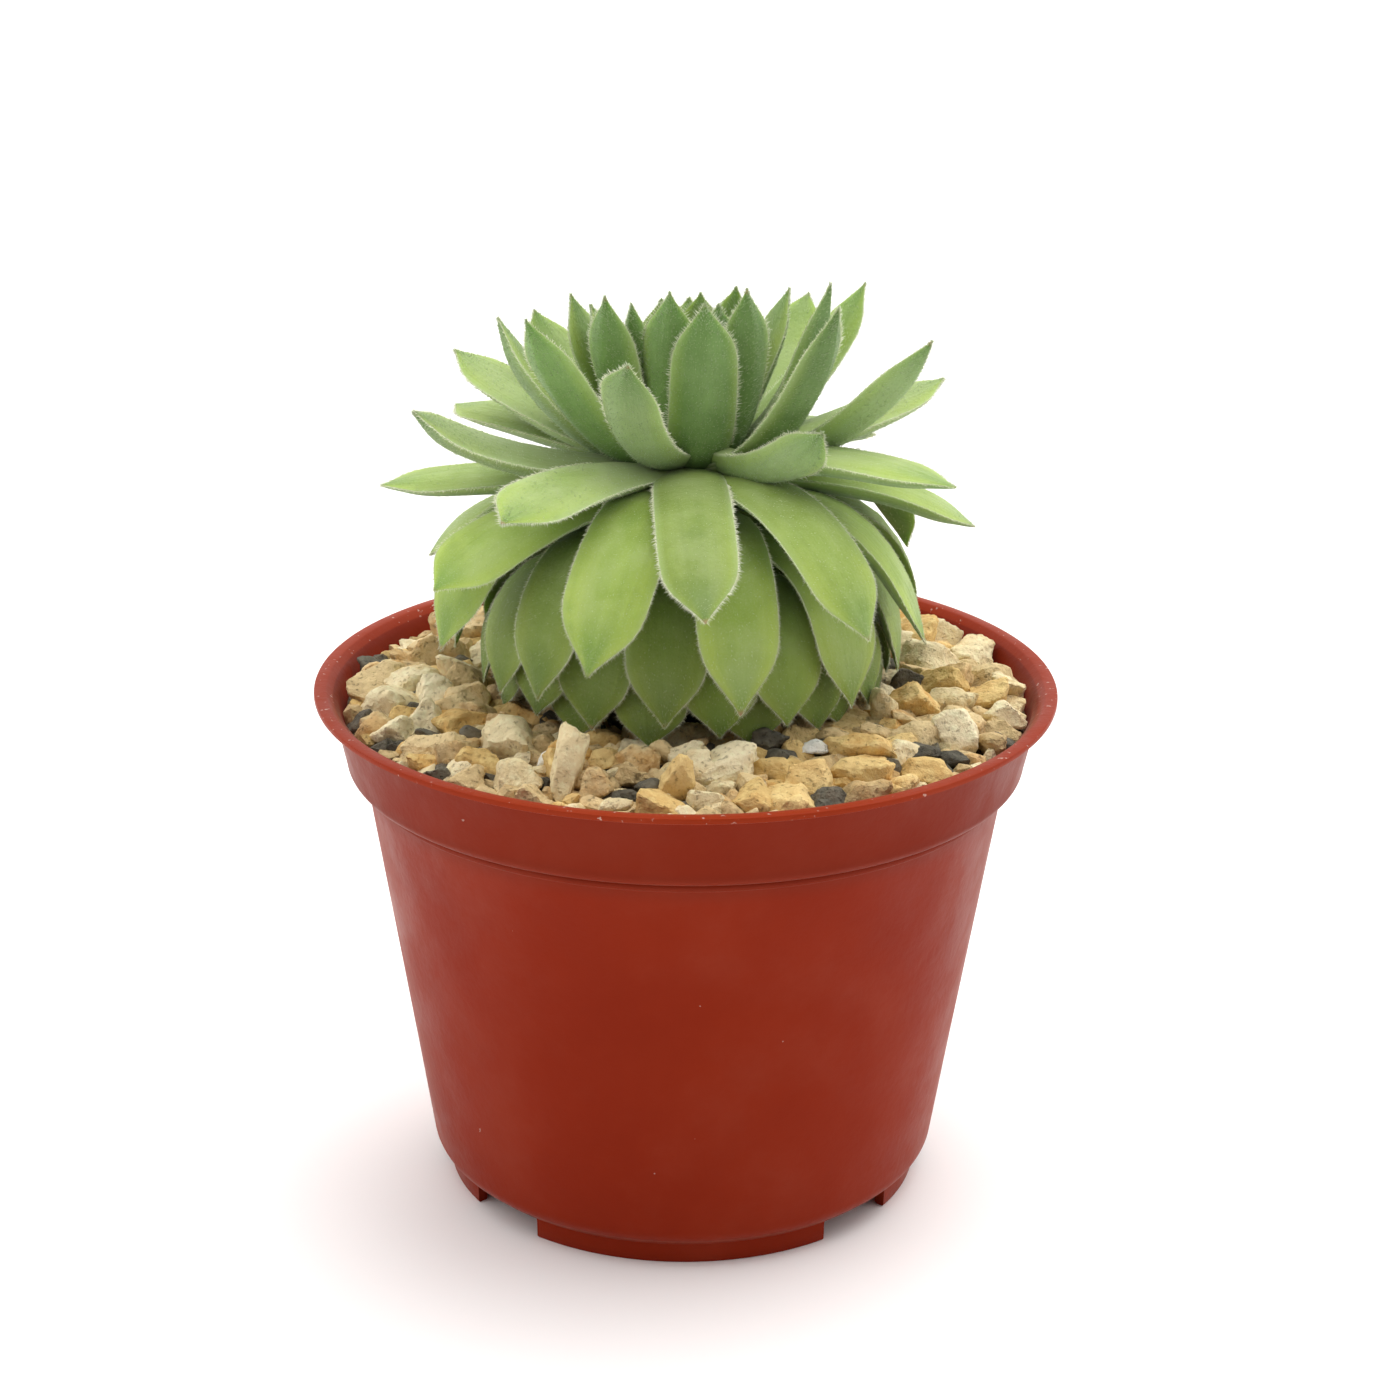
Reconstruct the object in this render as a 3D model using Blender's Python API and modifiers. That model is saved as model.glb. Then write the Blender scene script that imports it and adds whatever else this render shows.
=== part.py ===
"""A ciliate hens-and-chicks rosette in a plastic nursery pot dressed with grit.

Metres, +Z up. The origin is the centre of the surface that the pot stands on,
and the front of the plant faces -Y.
"""

import math
import random

import bmesh
import bpy
from mathutils import Matrix, Vector

# Pot
RIM_RADIUS = 0.055
POT_HEIGHT = 0.0779
WALL = 0.0011
LIP_THICKNESS = 0.0009
LIP_TOP_WIDTH = 0.0017
LIP_EDGE = 0.0002
COLLAR_TOP_RADIUS = 0.0528
COLLAR_TAPER = 0.2177
COLLAR_DEPTH = 0.0105
COLLAR_ROUNDING = 0.0016
STEP_Z = 0.0656
BODY_TOP_RADIUS = 0.0479
BODY_TAPER = 0.1556
BASE_ROUNDING = 0.0034
FOOT_RADIUS = 0.0362
FOOT_HEIGHT = 0.0035
FOOT_WIDTH = 0.0016
FLOOR_THICKNESS = 0.0014
FLOOR_ROUNDING = 0.0028
NOTCH_ANGLES = (47, 90, 133, -133, -90, -47)
NOTCH_ARC = 22
NOTCH_ROOF = 0.0002
DRAIN_HOLES = 8
DRAIN_RING_RADIUS = 0.0262
DRAIN_RADIUS = 0.0036
POT_SEGMENTS = 48

# Soil and grit
CLEARANCE = 0.0003
BED_BOTTOM = 0.0663
BED_CORNER = 0.0020
BED_RIM_HEIGHT = 0.0742
BED_CREST_RADIUS = 0.0315
BED_CREST_HEIGHT = 0.0776
DISH_RADIUS = 0.0290
DISH_HEIGHT = 0.0765
STONE_ROWS = (0.0340, 0.0392, 0.0440, 0.0482)
STONE_LENGTH = 0.0090
STONE_PITCH = 1.02
STONE_SEED = 5
ROOM_ABOVE_RIM = 0.006
SKIRT_ROOM = ((0.004, 0.0767), (0.0292, 0.0768), (0.0318, 0.0788), (0.0340, 0.0826))
SOIL_SEGMENTS = 36

# Rosette
LEAF_COUNT = 94
GOLDEN_ANGLE = 137.508
FIRST_AZIMUTH = 103.0
SPIRAL_HAND = -1
STEM_RADIUS = 0.0062
ROOT_DEPTH = 0.014
ROOT_RADIUS = 0.003
CORE_TOP = 0.1165
CORE_PROFILE = ((0.006, 0.1150), (0.011, 0.1050), (0.017, 0.0920), (0.018, 0.0820), (0.013, 0.0776))
CORE_SEGMENTS = 16
FACE_SHARE = 0.22
MM = 0.001

# Leaf measures in millimetres by age: root height, shoulder radius and height,
# tip radius and height, width, thickness.
LEAF_STAGES = (
    (0, 116.0, 2.0, 123.0, 2.0, 130.0, 3.6, 2.2),
    (5, 115.0, 4.0, 121.0, 4.5, 132.5, 6.0, 2.8),
    (10, 114.0, 6.5, 118.0, 7.5, 134.5, 8.2, 3.1),
    (20, 112.5, 12.0, 114.0, 14.0, 136.0, 10.0, 3.6),
    (24, 112.0, 16.0, 113.0, 22.0, 134.5, 10.5, 3.7),
    (28, 111.5, 21.0, 113.0, 32.0, 131.5, 11.0, 3.8),
    (32, 111.0, 22.0, 114.0, 38.0, 126.0, 11.4, 3.9),
    (36, 110.5, 24.0, 115.0, 43.0, 117.0, 11.6, 3.9),
    (40, 110.5, 26.0, 117.0, 43.0, 102.5, 11.8, 3.9),
    (46, 109.0, 31.0, 118.5, 39.5, 94.0, 11.8, 3.8),
    (52, 105.0, 32.5, 116.0, 35.8, 86.0, 11.8, 3.7),
    (60, 99.0, 32.0, 110.0, 32.0, 82.0, 11.8, 3.5),
    (70, 94.0, 31.0, 102.0, 30.5, 79.8, 11.4, 3.2),
    (84, 88.0, 30.0, 94.0, 29.0, 77.4, 10.5, 3.0),
    (94, 84.0, 28.0, 89.5, 27.6, 77.3, 10.2, 2.8),
)
# Position along the leaf, share of the full width and share of the full thickness.
LEAF_OUTLINE = (
    (0.0, 0.78, 1.0), (0.36, 0.97, 1.0), (0.76, 1.0, 0.92), (0.86, 0.85, 0.72), (0.94, 0.38, 0.4),
    (1.0, 0.0, 0.0))
# Leaves that lean or twist out of the spiral's order: degrees of turn and twist, millimetres
# at the root (rise), at the tip (reach, lift) and at the shoulder (draw, bend, push), and slimness.
LEAF_QUIRKS = {
    9: {"reach": 3, "lift": 1.7},
    11: {"lift": 1.5},
    12: {"reach": 6, "lift": -1.5},
    13: {"reach": 6.5, "lift": 0.5},
    14: {"turn": 5, "reach": -1, "lift": 3},
    15: {"reach": 1, "lift": -2.5},
    16: {"turn": -12, "reach": -1, "lift": 2.8, "twist": -12},
    17: {"turn": 12, "reach": 1.2, "lift": 1.3, "twist": 22},
    18: {"lift": -1},
    19: {"lift": 1.5, "reach": -1},
    20: {"turn": 12, "reach": 5, "lift": -2},
    21: {"reach": 4.2, "lift": 1.7, "twist": -25},
    22: {"turn": -20, "reach": 7.5, "lift": -0.5, "twist": 18},
    23: {"lift": -3.8},
    24: {"turn": 8, "reach": 4.5, "lift": 3.5},
    25: {"reach": 3, "lift": -2, "twist": 8},
    26: {"reach": 6, "lift": 0.5, "slim": 0.8},
    27: {"turn": -10, "reach": -5.5, "lift": -1.2, "rise": 2, "bend": 3, "draw": -1.5, "push": -2,
         "twist": -18, "slim": 0.92},
    28: {"turn": 14, "reach": 0, "lift": -3},
    29: {"reach": 1.7, "lift": 1.5, "twist": -24},
    30: {"turn": -4, "reach": 6.5, "lift": -6, "bend": -1, "draw": 6, "twist": -8},
    31: {"turn": -10, "lift": 2},
    32: {"turn": 18, "reach": -9.5, "lift": -4.5, "rise": 4.5, "bend": -3, "draw": -3,
         "twist": -55, "slim": 0.63},
    33: {"reach": -0.8},
    34: {"reach": -1, "lift": -0.5},
    35: {"turn": -8, "reach": -1, "lift": -8, "bend": 1, "twist": -12},
    37: {"turn": 2, "reach": 1, "lift": 1.2, "bend": 3, "draw": -9},
    38: {"reach": 1.4, "lift": -0.8, "bend": -5},
    40: {"turn": 1, "lift": -1.6, "push": -2, "slim": 0.93},
    41: {"turn": 10, "reach": 1, "lift": 12, "bend": -3},
    42: {"lift": 2.7, "bend": -5},
    43: {"turn": -4, "reach": 2, "lift": 1.2, "bend": -8, "twist": -20},
    45: {"turn": 2, "reach": 1.5, "push": -3},
    46: {"bend": -12, "twist": -10},
    48: {"turn": -3, "lift": -0.7, "push": 3.5, "slim": 1.07},
    50: {"twist": -12, "push": -3, "draw": -2, "bend": -1.5},
    51: {"turn": 8, "reach": 3, "lift": 1, "twist": -15},
    53: {"turn": -2.5, "lift": -0.8, "push": 1},
    58: {"turn": -2, "lift": -1},
    59: {"reach": 1.8},
    74: {"turn": 2, "lift": 0.6},
    77: {"lift": 1},
    82: {"turn": 3},
}


def clear_scene():
    for item in list(bpy.data.objects):
        bpy.data.objects.remove(item, do_unlink=True)


def make_collection(name):
    collection = bpy.data.collections.new(name)
    bpy.context.scene.collection.children.link(collection)
    return collection


def make_material(name, color, roughness, metallic=0.0):
    material = bpy.data.materials.new(name)
    material.use_nodes = True
    shader = material.node_tree.nodes["Principled BSDF"]
    shader.inputs["Base Color"].default_value = (*color, 1.0)
    shader.inputs["Roughness"].default_value = roughness
    shader.inputs["Metallic"].default_value = metallic
    return material


def add_object(name, bm, collection, material=None):
    mesh = bpy.data.meshes.new(name)
    bm.to_mesh(mesh)
    bm.free()
    item = bpy.data.objects.new(name, mesh)
    collection.objects.link(item)
    if material:
        mesh.materials.append(material)
    return item


def turned(name, profile, steps, collection, material=None, closed=False):
    """Turns a profile of (radius, z) points round Z."""
    bm = bmesh.new()
    points = [bm.verts.new((radius, 0.0, z)) for radius, z in profile]
    if closed:
        points.append(points[0])
    for first, second in zip(points, points[1:]):
        bm.edges.new((first, second))
    item = add_object(name, bm, collection, material)
    screw = item.modifiers.new("Turn", "SCREW")
    screw.steps = steps
    screw.render_steps = steps
    screw.use_merge_vertices = True
    screw.merge_threshold = 0.00001
    screw.use_smooth_shade = True
    return item


def apply_modifiers(item):
    """Makes the evaluated mesh the object's own."""
    graph = bpy.context.evaluated_depsgraph_get()
    mesh = bpy.data.meshes.new_from_object(item.evaluated_get(graph))
    item.modifiers.clear()
    item.data = mesh


def boolean(item, operation, other, solver="EXACT"):
    """Adds a Boolean with one object, or with all of a collection."""
    modifier = item.modifiers.new(operation.title(), "BOOLEAN")
    modifier.operation = operation
    modifier.solver = solver
    if isinstance(other, bpy.types.Collection):
        modifier.operand_type = "COLLECTION"
        modifier.collection = other
    else:
        modifier.object = other
    return modifier


def mark_cutter(item):
    item.hide_render = True
    item.display_type = "WIRE"


def arc(center, radius, start, end, steps):
    """Points of an arc in the profile plane; angles in degrees from +X."""
    points = []
    for index in range(steps + 1):
        angle = math.radians(start + (end - start) * index / steps)
        points.append((center[0] + radius * math.cos(angle), center[1] + radius * math.sin(angle)))
    return points


def body_radius(z):
    """Outer radius of the tapered body at a height."""
    return BODY_TOP_RADIUS - BODY_TAPER * (STEP_Z - z)


def collar_radius(z):
    return COLLAR_TOP_RADIUS - COLLAR_TAPER * (POT_HEIGHT - z)


def pot_outer_profile():
    """From the lip's inner edge over the rim and down to the foot's inner corner."""
    collar_end = POT_HEIGHT - COLLAR_DEPTH
    turn = (collar_radius(collar_end) - COLLAR_ROUNDING, collar_end)
    base_z = FOOT_HEIGHT + BASE_ROUNDING
    base_turn = (body_radius(base_z) - BASE_ROUNDING, base_z)
    lip_bottom = POT_HEIGHT - LIP_THICKNESS
    return [
        (RIM_RADIUS - LIP_TOP_WIDTH, POT_HEIGHT),
        (RIM_RADIUS - LIP_EDGE, POT_HEIGHT),
        (RIM_RADIUS, POT_HEIGHT - LIP_EDGE),
        (RIM_RADIUS, lip_bottom + LIP_EDGE),
        (RIM_RADIUS - LIP_EDGE, lip_bottom),
        (collar_radius(lip_bottom), lip_bottom),
        *arc(turn, COLLAR_ROUNDING, 0, -75, 4),
        (body_radius(STEP_Z) + 0.0004, STEP_Z + 0.0003),
        (body_radius(STEP_Z), STEP_Z),
        *arc(base_turn, BASE_ROUNDING, -9, -62, 4),
        (FOOT_RADIUS, FOOT_HEIGHT - 0.0002),
        (FOOT_RADIUS - 0.0001, 0.0),
        (FOOT_RADIUS - FOOT_WIDTH, 0.0),
        (FOOT_RADIUS - FOOT_WIDTH - 0.0003, FOOT_HEIGHT),
    ]


def pot_inner_profile(inset):
    """From the floor's edge up to the lip, a distance inside the outer wall."""
    floor_z = FOOT_HEIGHT + FLOOR_THICKNESS + inset - WALL
    collar_end = POT_HEIGHT - COLLAR_DEPTH
    return [
        (body_radius(floor_z) - inset - FLOOR_ROUNDING, floor_z),
        (body_radius(floor_z + FLOOR_ROUNDING) - inset, floor_z + FLOOR_ROUNDING),
        (body_radius(STEP_Z) - inset, STEP_Z),
        (collar_radius(collar_end) - inset, collar_end + 0.0010),
    ]


def build_pot(collection, cutters, material):
    profile = [(0.0, FOOT_HEIGHT + FLOOR_THICKNESS)]
    profile += pot_inner_profile(WALL)
    throat_z = POT_HEIGHT - LIP_TOP_WIDTH
    profile.append((collar_radius(throat_z) - WALL, throat_z))
    profile += pot_outer_profile()
    profile.append((0.0, FOOT_HEIGHT))
    pot = turned("pot", profile, POT_SEGMENTS, collection, material)

    for index, angle in enumerate(NOTCH_ANGLES):
        width = 2 * FOOT_RADIUS * math.sin(math.radians(NOTCH_ARC / 2))
        bm = bmesh.new()
        bmesh.ops.create_cube(bm, size=1.0)
        bmesh.ops.scale(bm, vec=(width, 0.012, 2 * (FOOT_HEIGHT - NOTCH_ROOF)), verts=bm.verts)
        notch = add_object(f"notch_{index}", bm, cutters)
        turn = math.radians(angle)
        notch.location = (FOOT_RADIUS * math.sin(turn), -FOOT_RADIUS * math.cos(turn), 0.0)
        notch.rotation_euler = (0.0, 0.0, turn)
        mark_cutter(notch)
        boolean(pot, "DIFFERENCE", notch)

    for index in range(DRAIN_HOLES):
        angle = 2 * math.pi * (index + 0.5) / DRAIN_HOLES
        bm = bmesh.new()
        bmesh.ops.create_cone(bm, cap_ends=True, segments=12, radius1=DRAIN_RADIUS,
                              radius2=DRAIN_RADIUS, depth=4 * FLOOR_THICKNESS)
        hole = add_object(f"drain_{index}", bm, cutters)
        hole.location = (DRAIN_RING_RADIUS * math.sin(angle), -DRAIN_RING_RADIUS * math.cos(angle),
                         FOOT_HEIGHT + FLOOR_THICKNESS / 2)
        mark_cutter(hole)
        boolean(pot, "DIFFERENCE", hole)
    return pot


def wall_inside(z):
    """Inner radius of the pot's wall at a height."""
    points = pot_inner_profile(WALL)
    for (low_radius, low_z), (high_radius, high_z) in zip(points, points[1:]):
        if z <= high_z:
            return low_radius + (high_radius - low_radius) * (z - low_z) / (high_z - low_z)
    return collar_radius(z) - WALL


def build_potting_mix(collection, material):
    """The soil block under the grit, with a plain hole for the root."""
    bottom = FOOT_HEIGHT + FLOOR_THICKNESS + CLEARANCE
    top = BED_BOTTOM - CLEARANCE
    hole = STEM_RADIUS + CLEARANCE
    hole_bottom = top - ROOT_DEPTH
    profile = [(0.0, hole_bottom), (hole, hole_bottom), (hole, top)]
    for z in (top, STEP_Z, STEP_Z * 0.5, bottom + FLOOR_ROUNDING, bottom):
        profile.append((wall_inside(z) - CLEARANCE, z))
    profile.append((0.0, bottom))
    return turned("potting_mix", profile, SOIL_SEGMENTS, collection, material)


def bed_height(radius_at):
    """Height of the grit's bed between its crest and the wall."""
    part = (radius_at - BED_CREST_RADIUS) / (RIM_RADIUS - 0.004 - BED_CREST_RADIUS)
    return BED_CREST_HEIGHT + (BED_RIM_HEIGHT - BED_CREST_HEIGHT) * max(0.0, part)


def make_stone(rng, radius_at, angle, length):
    """One angular chip: a jittered icosphere, flattened and tipped."""
    bm = bmesh.new()
    bmesh.ops.create_icosphere(bm, subdivisions=1, radius=0.5)
    for vert in bm.verts:
        vert.co *= rng.uniform(0.82, 1.18)
    size = Vector((length, length * rng.uniform(0.62, 0.85), length * rng.uniform(0.5, 0.7)))
    bmesh.ops.scale(bm, vec=size, verts=bm.verts)
    turn = Matrix.Rotation(rng.uniform(0, 2 * math.pi), 4, "Z")
    tip = Matrix.Rotation(rng.uniform(-0.45, 0.45), 4, "X")
    lift = bed_height(radius_at) + rng.uniform(0.0, 0.0012)
    place = Matrix.Translation((radius_at * math.sin(angle), -radius_at * math.cos(angle), lift))
    bmesh.ops.transform(bm, matrix=place @ turn @ tip, verts=bm.verts)
    return bm


def build_top_dressing(collection, cutters, material):
    """The grit: a bed round the stem with the chips that show fused on top."""
    bottom = BED_BOTTOM
    hole = STEM_RADIUS + CLEARANCE
    edge = wall_inside(BED_RIM_HEIGHT) - CLEARANCE
    profile = [(hole, DISH_HEIGHT), (DISH_RADIUS, DISH_HEIGHT), (BED_CREST_RADIUS, BED_CREST_HEIGHT),
               (edge, BED_RIM_HEIGHT)]
    for z in (bottom + BED_CORNER, bottom):
        profile.append((wall_inside(z) - CLEARANCE, z))
    profile.append((hole, bottom))
    bed = turned("top_dressing", profile, SOIL_SEGMENTS, collection, material, closed=True)

    rng = random.Random(STONE_SEED)
    stones = make_collection("Stones")
    for row, row_radius in enumerate(STONE_ROWS):
        count = round(2 * math.pi * row_radius / (STONE_LENGTH * STONE_PITCH))
        for index in range(count):
            angle = 2 * math.pi * (index + 0.5 * (row % 2) + rng.uniform(-0.2, 0.2)) / count
            radius_at = row_radius + rng.uniform(-0.0008, 0.0008)
            length = STONE_LENGTH * rng.uniform(0.75, 1.15)
            add_object(f"stone_{row}_{index}", make_stone(rng, radius_at, angle, length), stones)
    boolean(bed, "UNION", stones)
    apply_modifiers(bed)

    top = POT_HEIGHT + ROOM_ABOVE_RIM
    ring = [*SKIRT_ROOM, (SKIRT_ROOM[-1][0], top), (wall_inside(POT_HEIGHT) - CLEARANCE, top)]
    for z in (POT_HEIGHT, bottom + BED_CORNER, bottom - 0.0010):
        ring.append((wall_inside(z) - CLEARANCE * 1.05, z))
    ring.append((SKIRT_ROOM[0][0], bottom - 0.0010))
    room = turned("stone_room", ring, SOIL_SEGMENTS, cutters, closed=True)
    mark_cutter(room)
    boolean(bed, "INTERSECT", room)
    apply_modifiers(bed)
    keep_main_shell(bed)
    empty_collection(stones)
    bpy.data.objects.remove(room, do_unlink=True)
    return bed


def empty_collection(collection):
    for item in list(collection.objects):
        bpy.data.objects.remove(item, do_unlink=True)
    bpy.data.collections.remove(collection)


def keep_main_shell(item):
    """Fills hollows that a union sealed and drops loose scraps."""
    bm = bmesh.new()
    bm.from_mesh(item.data)
    bmesh.ops.remove_doubles(bm, verts=bm.verts, dist=0.000002)
    unseen = set(bm.verts)
    shells = []
    while unseen:
        start = unseen.pop()
        shell = [start]
        queue = [start]
        while queue:
            for edge in queue.pop().link_edges:
                for vert in edge.verts:
                    if vert in unseen:
                        unseen.remove(vert)
                        shell.append(vert)
                        queue.append(vert)
        shells.append(shell)
    shells.sort(key=len)
    for shell in shells[:-1]:
        bmesh.ops.delete(bm, geom=shell, context="VERTS")
    bm.to_mesh(item.data)
    bm.free()


def stage_values(age):
    """Leaf measures at an age, between the stages of LEAF_STAGES."""
    for young, old in zip(LEAF_STAGES, LEAF_STAGES[1:]):
        if age <= old[0]:
            part = (age - young[0]) / (old[0] - young[0])
            return [MM * (a + (b - a) * part) for a, b in zip(young[1:], old[1:])]
    return [MM * value for value in LEAF_STAGES[-1][1:]]


def leaf_sections(age):
    """Centre, side and face vectors, half width and depth at each position along a leaf."""
    root_z, shoulder_r, shoulder_z, tip_r, tip_z, width, depth = stage_values(age)
    quirk = LEAF_QUIRKS.get(age, {})
    azimuth = math.radians(FIRST_AZIMUTH + SPIRAL_HAND * GOLDEN_ANGLE * age + quirk.get("turn", 0.0))
    out = Vector((math.sin(azimuth), -math.cos(azimuth), 0.0))
    across = Vector((math.cos(azimuth), math.sin(azimuth), 0.0))
    up = Vector((0.0, 0.0, 1.0))
    root = out * ROOT_RADIUS + up * (root_z + quirk.get("rise", 0.0) * MM)
    shoulder = out * shoulder_r + up * shoulder_z
    shoulder += (out * quirk.get("draw", 0.0) + up * quirk.get("bend", 0.0)) * MM
    shoulder += across * quirk.get("push", 0.0) * MM
    tip = out * tip_r + up * tip_z
    tip += (out * quirk.get("reach", 0.0) + up * quirk.get("lift", 0.0)) * MM
    twist = math.radians(quirk.get("twist", 0.0))
    width *= quirk.get("slim", 1.0)
    sections = []
    for part, breadth, bulk in LEAF_OUTLINE:
        rest = 1.0 - part
        centre = root * rest * rest + shoulder * 2 * part * rest + tip * part * part
        along = ((shoulder - root) * rest + (tip - shoulder) * part).normalized()
        side = (across - along * across.dot(along)).normalized()
        face = along.cross(side)
        turn = Matrix.Rotation(twist * min(1.0, part * 1.3), 3, along)
        sections.append((centre, turn @ side, turn @ face, 0.5 * width * breadth, depth * bulk))
    return sections


def make_leaf(age):
    """A thick pointed blade: four-sided sections lofted from the root to the tip."""
    bm = bmesh.new()
    rings = []
    sections = leaf_sections(age)
    for centre, side, face, half, depth in sections[:-1]:
        keel = centre - face * depth * (1.0 - FACE_SHARE)
        corners = (centre + side * half, centre + face * depth * FACE_SHARE, centre - side * half, keel)
        rings.append([bm.verts.new(corner) for corner in corners])
    tip = bm.verts.new(sections[-1][0])
    bm.faces.new(rings[0])
    for near, far in zip(rings, rings[1:]):
        for index in range(4):
            nxt = (index + 1) % 4
            bm.faces.new((near[index], far[index], far[nxt], near[nxt]))
    for index in range(4):
        bm.faces.new((rings[-1][index], tip, rings[-1][(index + 1) % 4]))
    bmesh.ops.recalc_face_normals(bm, faces=bm.faces)
    bmesh.ops.triangulate(bm, faces=bm.faces)
    return bm


def build_rosette(collection, material):
    """The plant: leaves on one golden-angle spiral, sunk into the stem that carries them."""
    stem_bottom = BED_BOTTOM - ROOT_DEPTH
    profile = [(0.0, CORE_TOP)]
    profile += [(radius, z) for radius, z in CORE_PROFILE]
    profile += [(STEM_RADIUS, DISH_HEIGHT + CLEARANCE), (STEM_RADIUS * 0.9, stem_bottom), (0.0, stem_bottom)]
    rosette = turned("rosette", profile, CORE_SEGMENTS, collection, material)
    leaves = make_collection("Leaves")
    for age in range(LEAF_COUNT):
        add_object(f"leaf_{age}", make_leaf(age), leaves)
    boolean(rosette, "UNION", leaves, "MANIFOLD")
    apply_modifiers(rosette)
    keep_main_shell(rosette)
    empty_collection(leaves)
    return rosette


def main():
    clear_scene()
    collection = make_collection("Hens and chicks")
    cutters = make_collection("Cutters")
    plastic = make_material("Terracotta plastic", (0.305, 0.032, 0.011), 0.42)
    soil = make_material("Potting mix", (0.030, 0.020, 0.013), 0.95)
    grit = make_material("Tan grit", (0.440, 0.300, 0.150), 0.9)
    leaf = make_material("Leaf", (0.125, 0.270, 0.060), 0.6)
    build_pot(collection, cutters, plastic)
    build_potting_mix(collection, soil)
    build_top_dressing(collection, cutters, grit)
    build_rosette(collection, leaf)


main()
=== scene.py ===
import math
import random

import bpy
import numpy as np
from mathutils import Matrix, Vector, noise


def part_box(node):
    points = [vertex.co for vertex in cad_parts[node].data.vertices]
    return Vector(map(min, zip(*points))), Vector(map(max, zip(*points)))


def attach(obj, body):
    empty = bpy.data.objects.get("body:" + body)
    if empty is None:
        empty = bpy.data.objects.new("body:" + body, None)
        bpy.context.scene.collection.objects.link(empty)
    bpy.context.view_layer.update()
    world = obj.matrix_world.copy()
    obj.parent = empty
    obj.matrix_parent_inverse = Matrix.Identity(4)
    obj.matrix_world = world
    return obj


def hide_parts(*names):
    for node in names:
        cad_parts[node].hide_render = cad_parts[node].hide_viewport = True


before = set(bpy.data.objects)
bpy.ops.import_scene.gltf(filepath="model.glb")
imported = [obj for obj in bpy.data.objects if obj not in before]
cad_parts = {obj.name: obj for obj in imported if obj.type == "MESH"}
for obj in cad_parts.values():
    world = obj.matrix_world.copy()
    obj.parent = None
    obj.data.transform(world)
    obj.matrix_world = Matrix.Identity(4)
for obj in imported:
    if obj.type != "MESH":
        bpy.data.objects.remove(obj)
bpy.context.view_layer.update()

# Hens and chicks in a nursery pot. Everything is in metres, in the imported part's own frame.
mm = 0.001
up = Vector((0, 0, 1))

cameraSettings = {
    "focalPixels": 3000,    # focal length in pixels of the square photo
    "photoPixels": 1400,
    "sensor": 36,
    "pitch": 20.1,          # degrees looking down
    "roll": 0.57,
    "aim": (0.0021, 0, 0.0745),
    "distance": 0.4475,
}


def deselectAll():
    bpy.ops.object.select_all(action="DESELECT")


def pick(piece):
    deselectAll()
    piece.select_set(True)
    bpy.context.view_layer.objects.active = piece


def settle(piece):
    # the piece's place goes into its mesh, as a CAD node's does
    pick(piece)
    bpy.ops.object.transform_apply(location=True, rotation=True, scale=True)


def smooth(piece, angle=35):
    pick(piece)
    bpy.ops.object.shade_smooth_by_angle(angle=math.radians(angle))


def editAll():
    bpy.ops.object.mode_set(mode="EDIT")
    bpy.ops.mesh.select_all(action="SELECT")


def closeEdit():
    # the faces point outwards, and the edit ends
    bpy.ops.mesh.select_all(action="SELECT")
    bpy.ops.mesh.normals_make_consistent(inside=False)
    bpy.ops.object.mode_set(mode="OBJECT")


def applyAll(piece):
    pick(piece)
    for modifier in list(piece.modifiers):
        bpy.ops.object.modifier_apply(modifier=modifier.name)


def finishPiece(piece, name, material, nodes=()):
    piece.name = name
    piece.data.name = name
    piece.data.materials.clear()
    piece.data.materials.append(material)
    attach(piece, "root")
    if nodes:
        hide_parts(*nodes)
    return piece


def turnProfile(name, points, segments):
    # a disc, extruded and resized ring by ring along a profile of (radius, height) points
    (radius, height), *rest = points
    deselectAll()
    bpy.ops.mesh.primitive_circle_add(vertices=segments, radius=radius, fill_type="NGON",
                                      location=(0, 0, height))
    piece = bpy.context.object
    settle(piece)
    editAll()
    for nextRadius, nextHeight in rest:
        move = {"value": (0, 0, nextHeight - height)}
        bpy.ops.mesh.extrude_region_move(TRANSFORM_OT_translate=move)
        grow = nextRadius / radius
        bpy.ops.transform.resize(value=(grow, grow, 1), center_override=(0, 0, nextHeight))
        radius, height = nextRadius, nextHeight
    closeEdit()
    piece.name = name
    return piece


def arcPoints(centre, radius, start, end, steps):
    points = []
    for step in range(steps + 1):
        angle = math.radians(start + (end - start) * step / steps)
        points.append((centre[0] + radius * math.cos(angle), centre[1] + radius * math.sin(angle)))
    return points


def meshArrays(piece):
    # corner indices, face sizes and vertex places of a piece, for copying it many times
    mesh = piece.data
    places = np.zeros(len(mesh.vertices) * 3)
    mesh.vertices.foreach_get("co", places)
    corners = np.zeros(len(mesh.loops), dtype=np.int64)
    mesh.loops.foreach_get("vertex_index", corners)
    sizes = np.zeros(len(mesh.polygons), dtype=np.int64)
    mesh.polygons.foreach_get("loop_total", sizes)
    return places.reshape(-1, 3), corners, sizes


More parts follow.
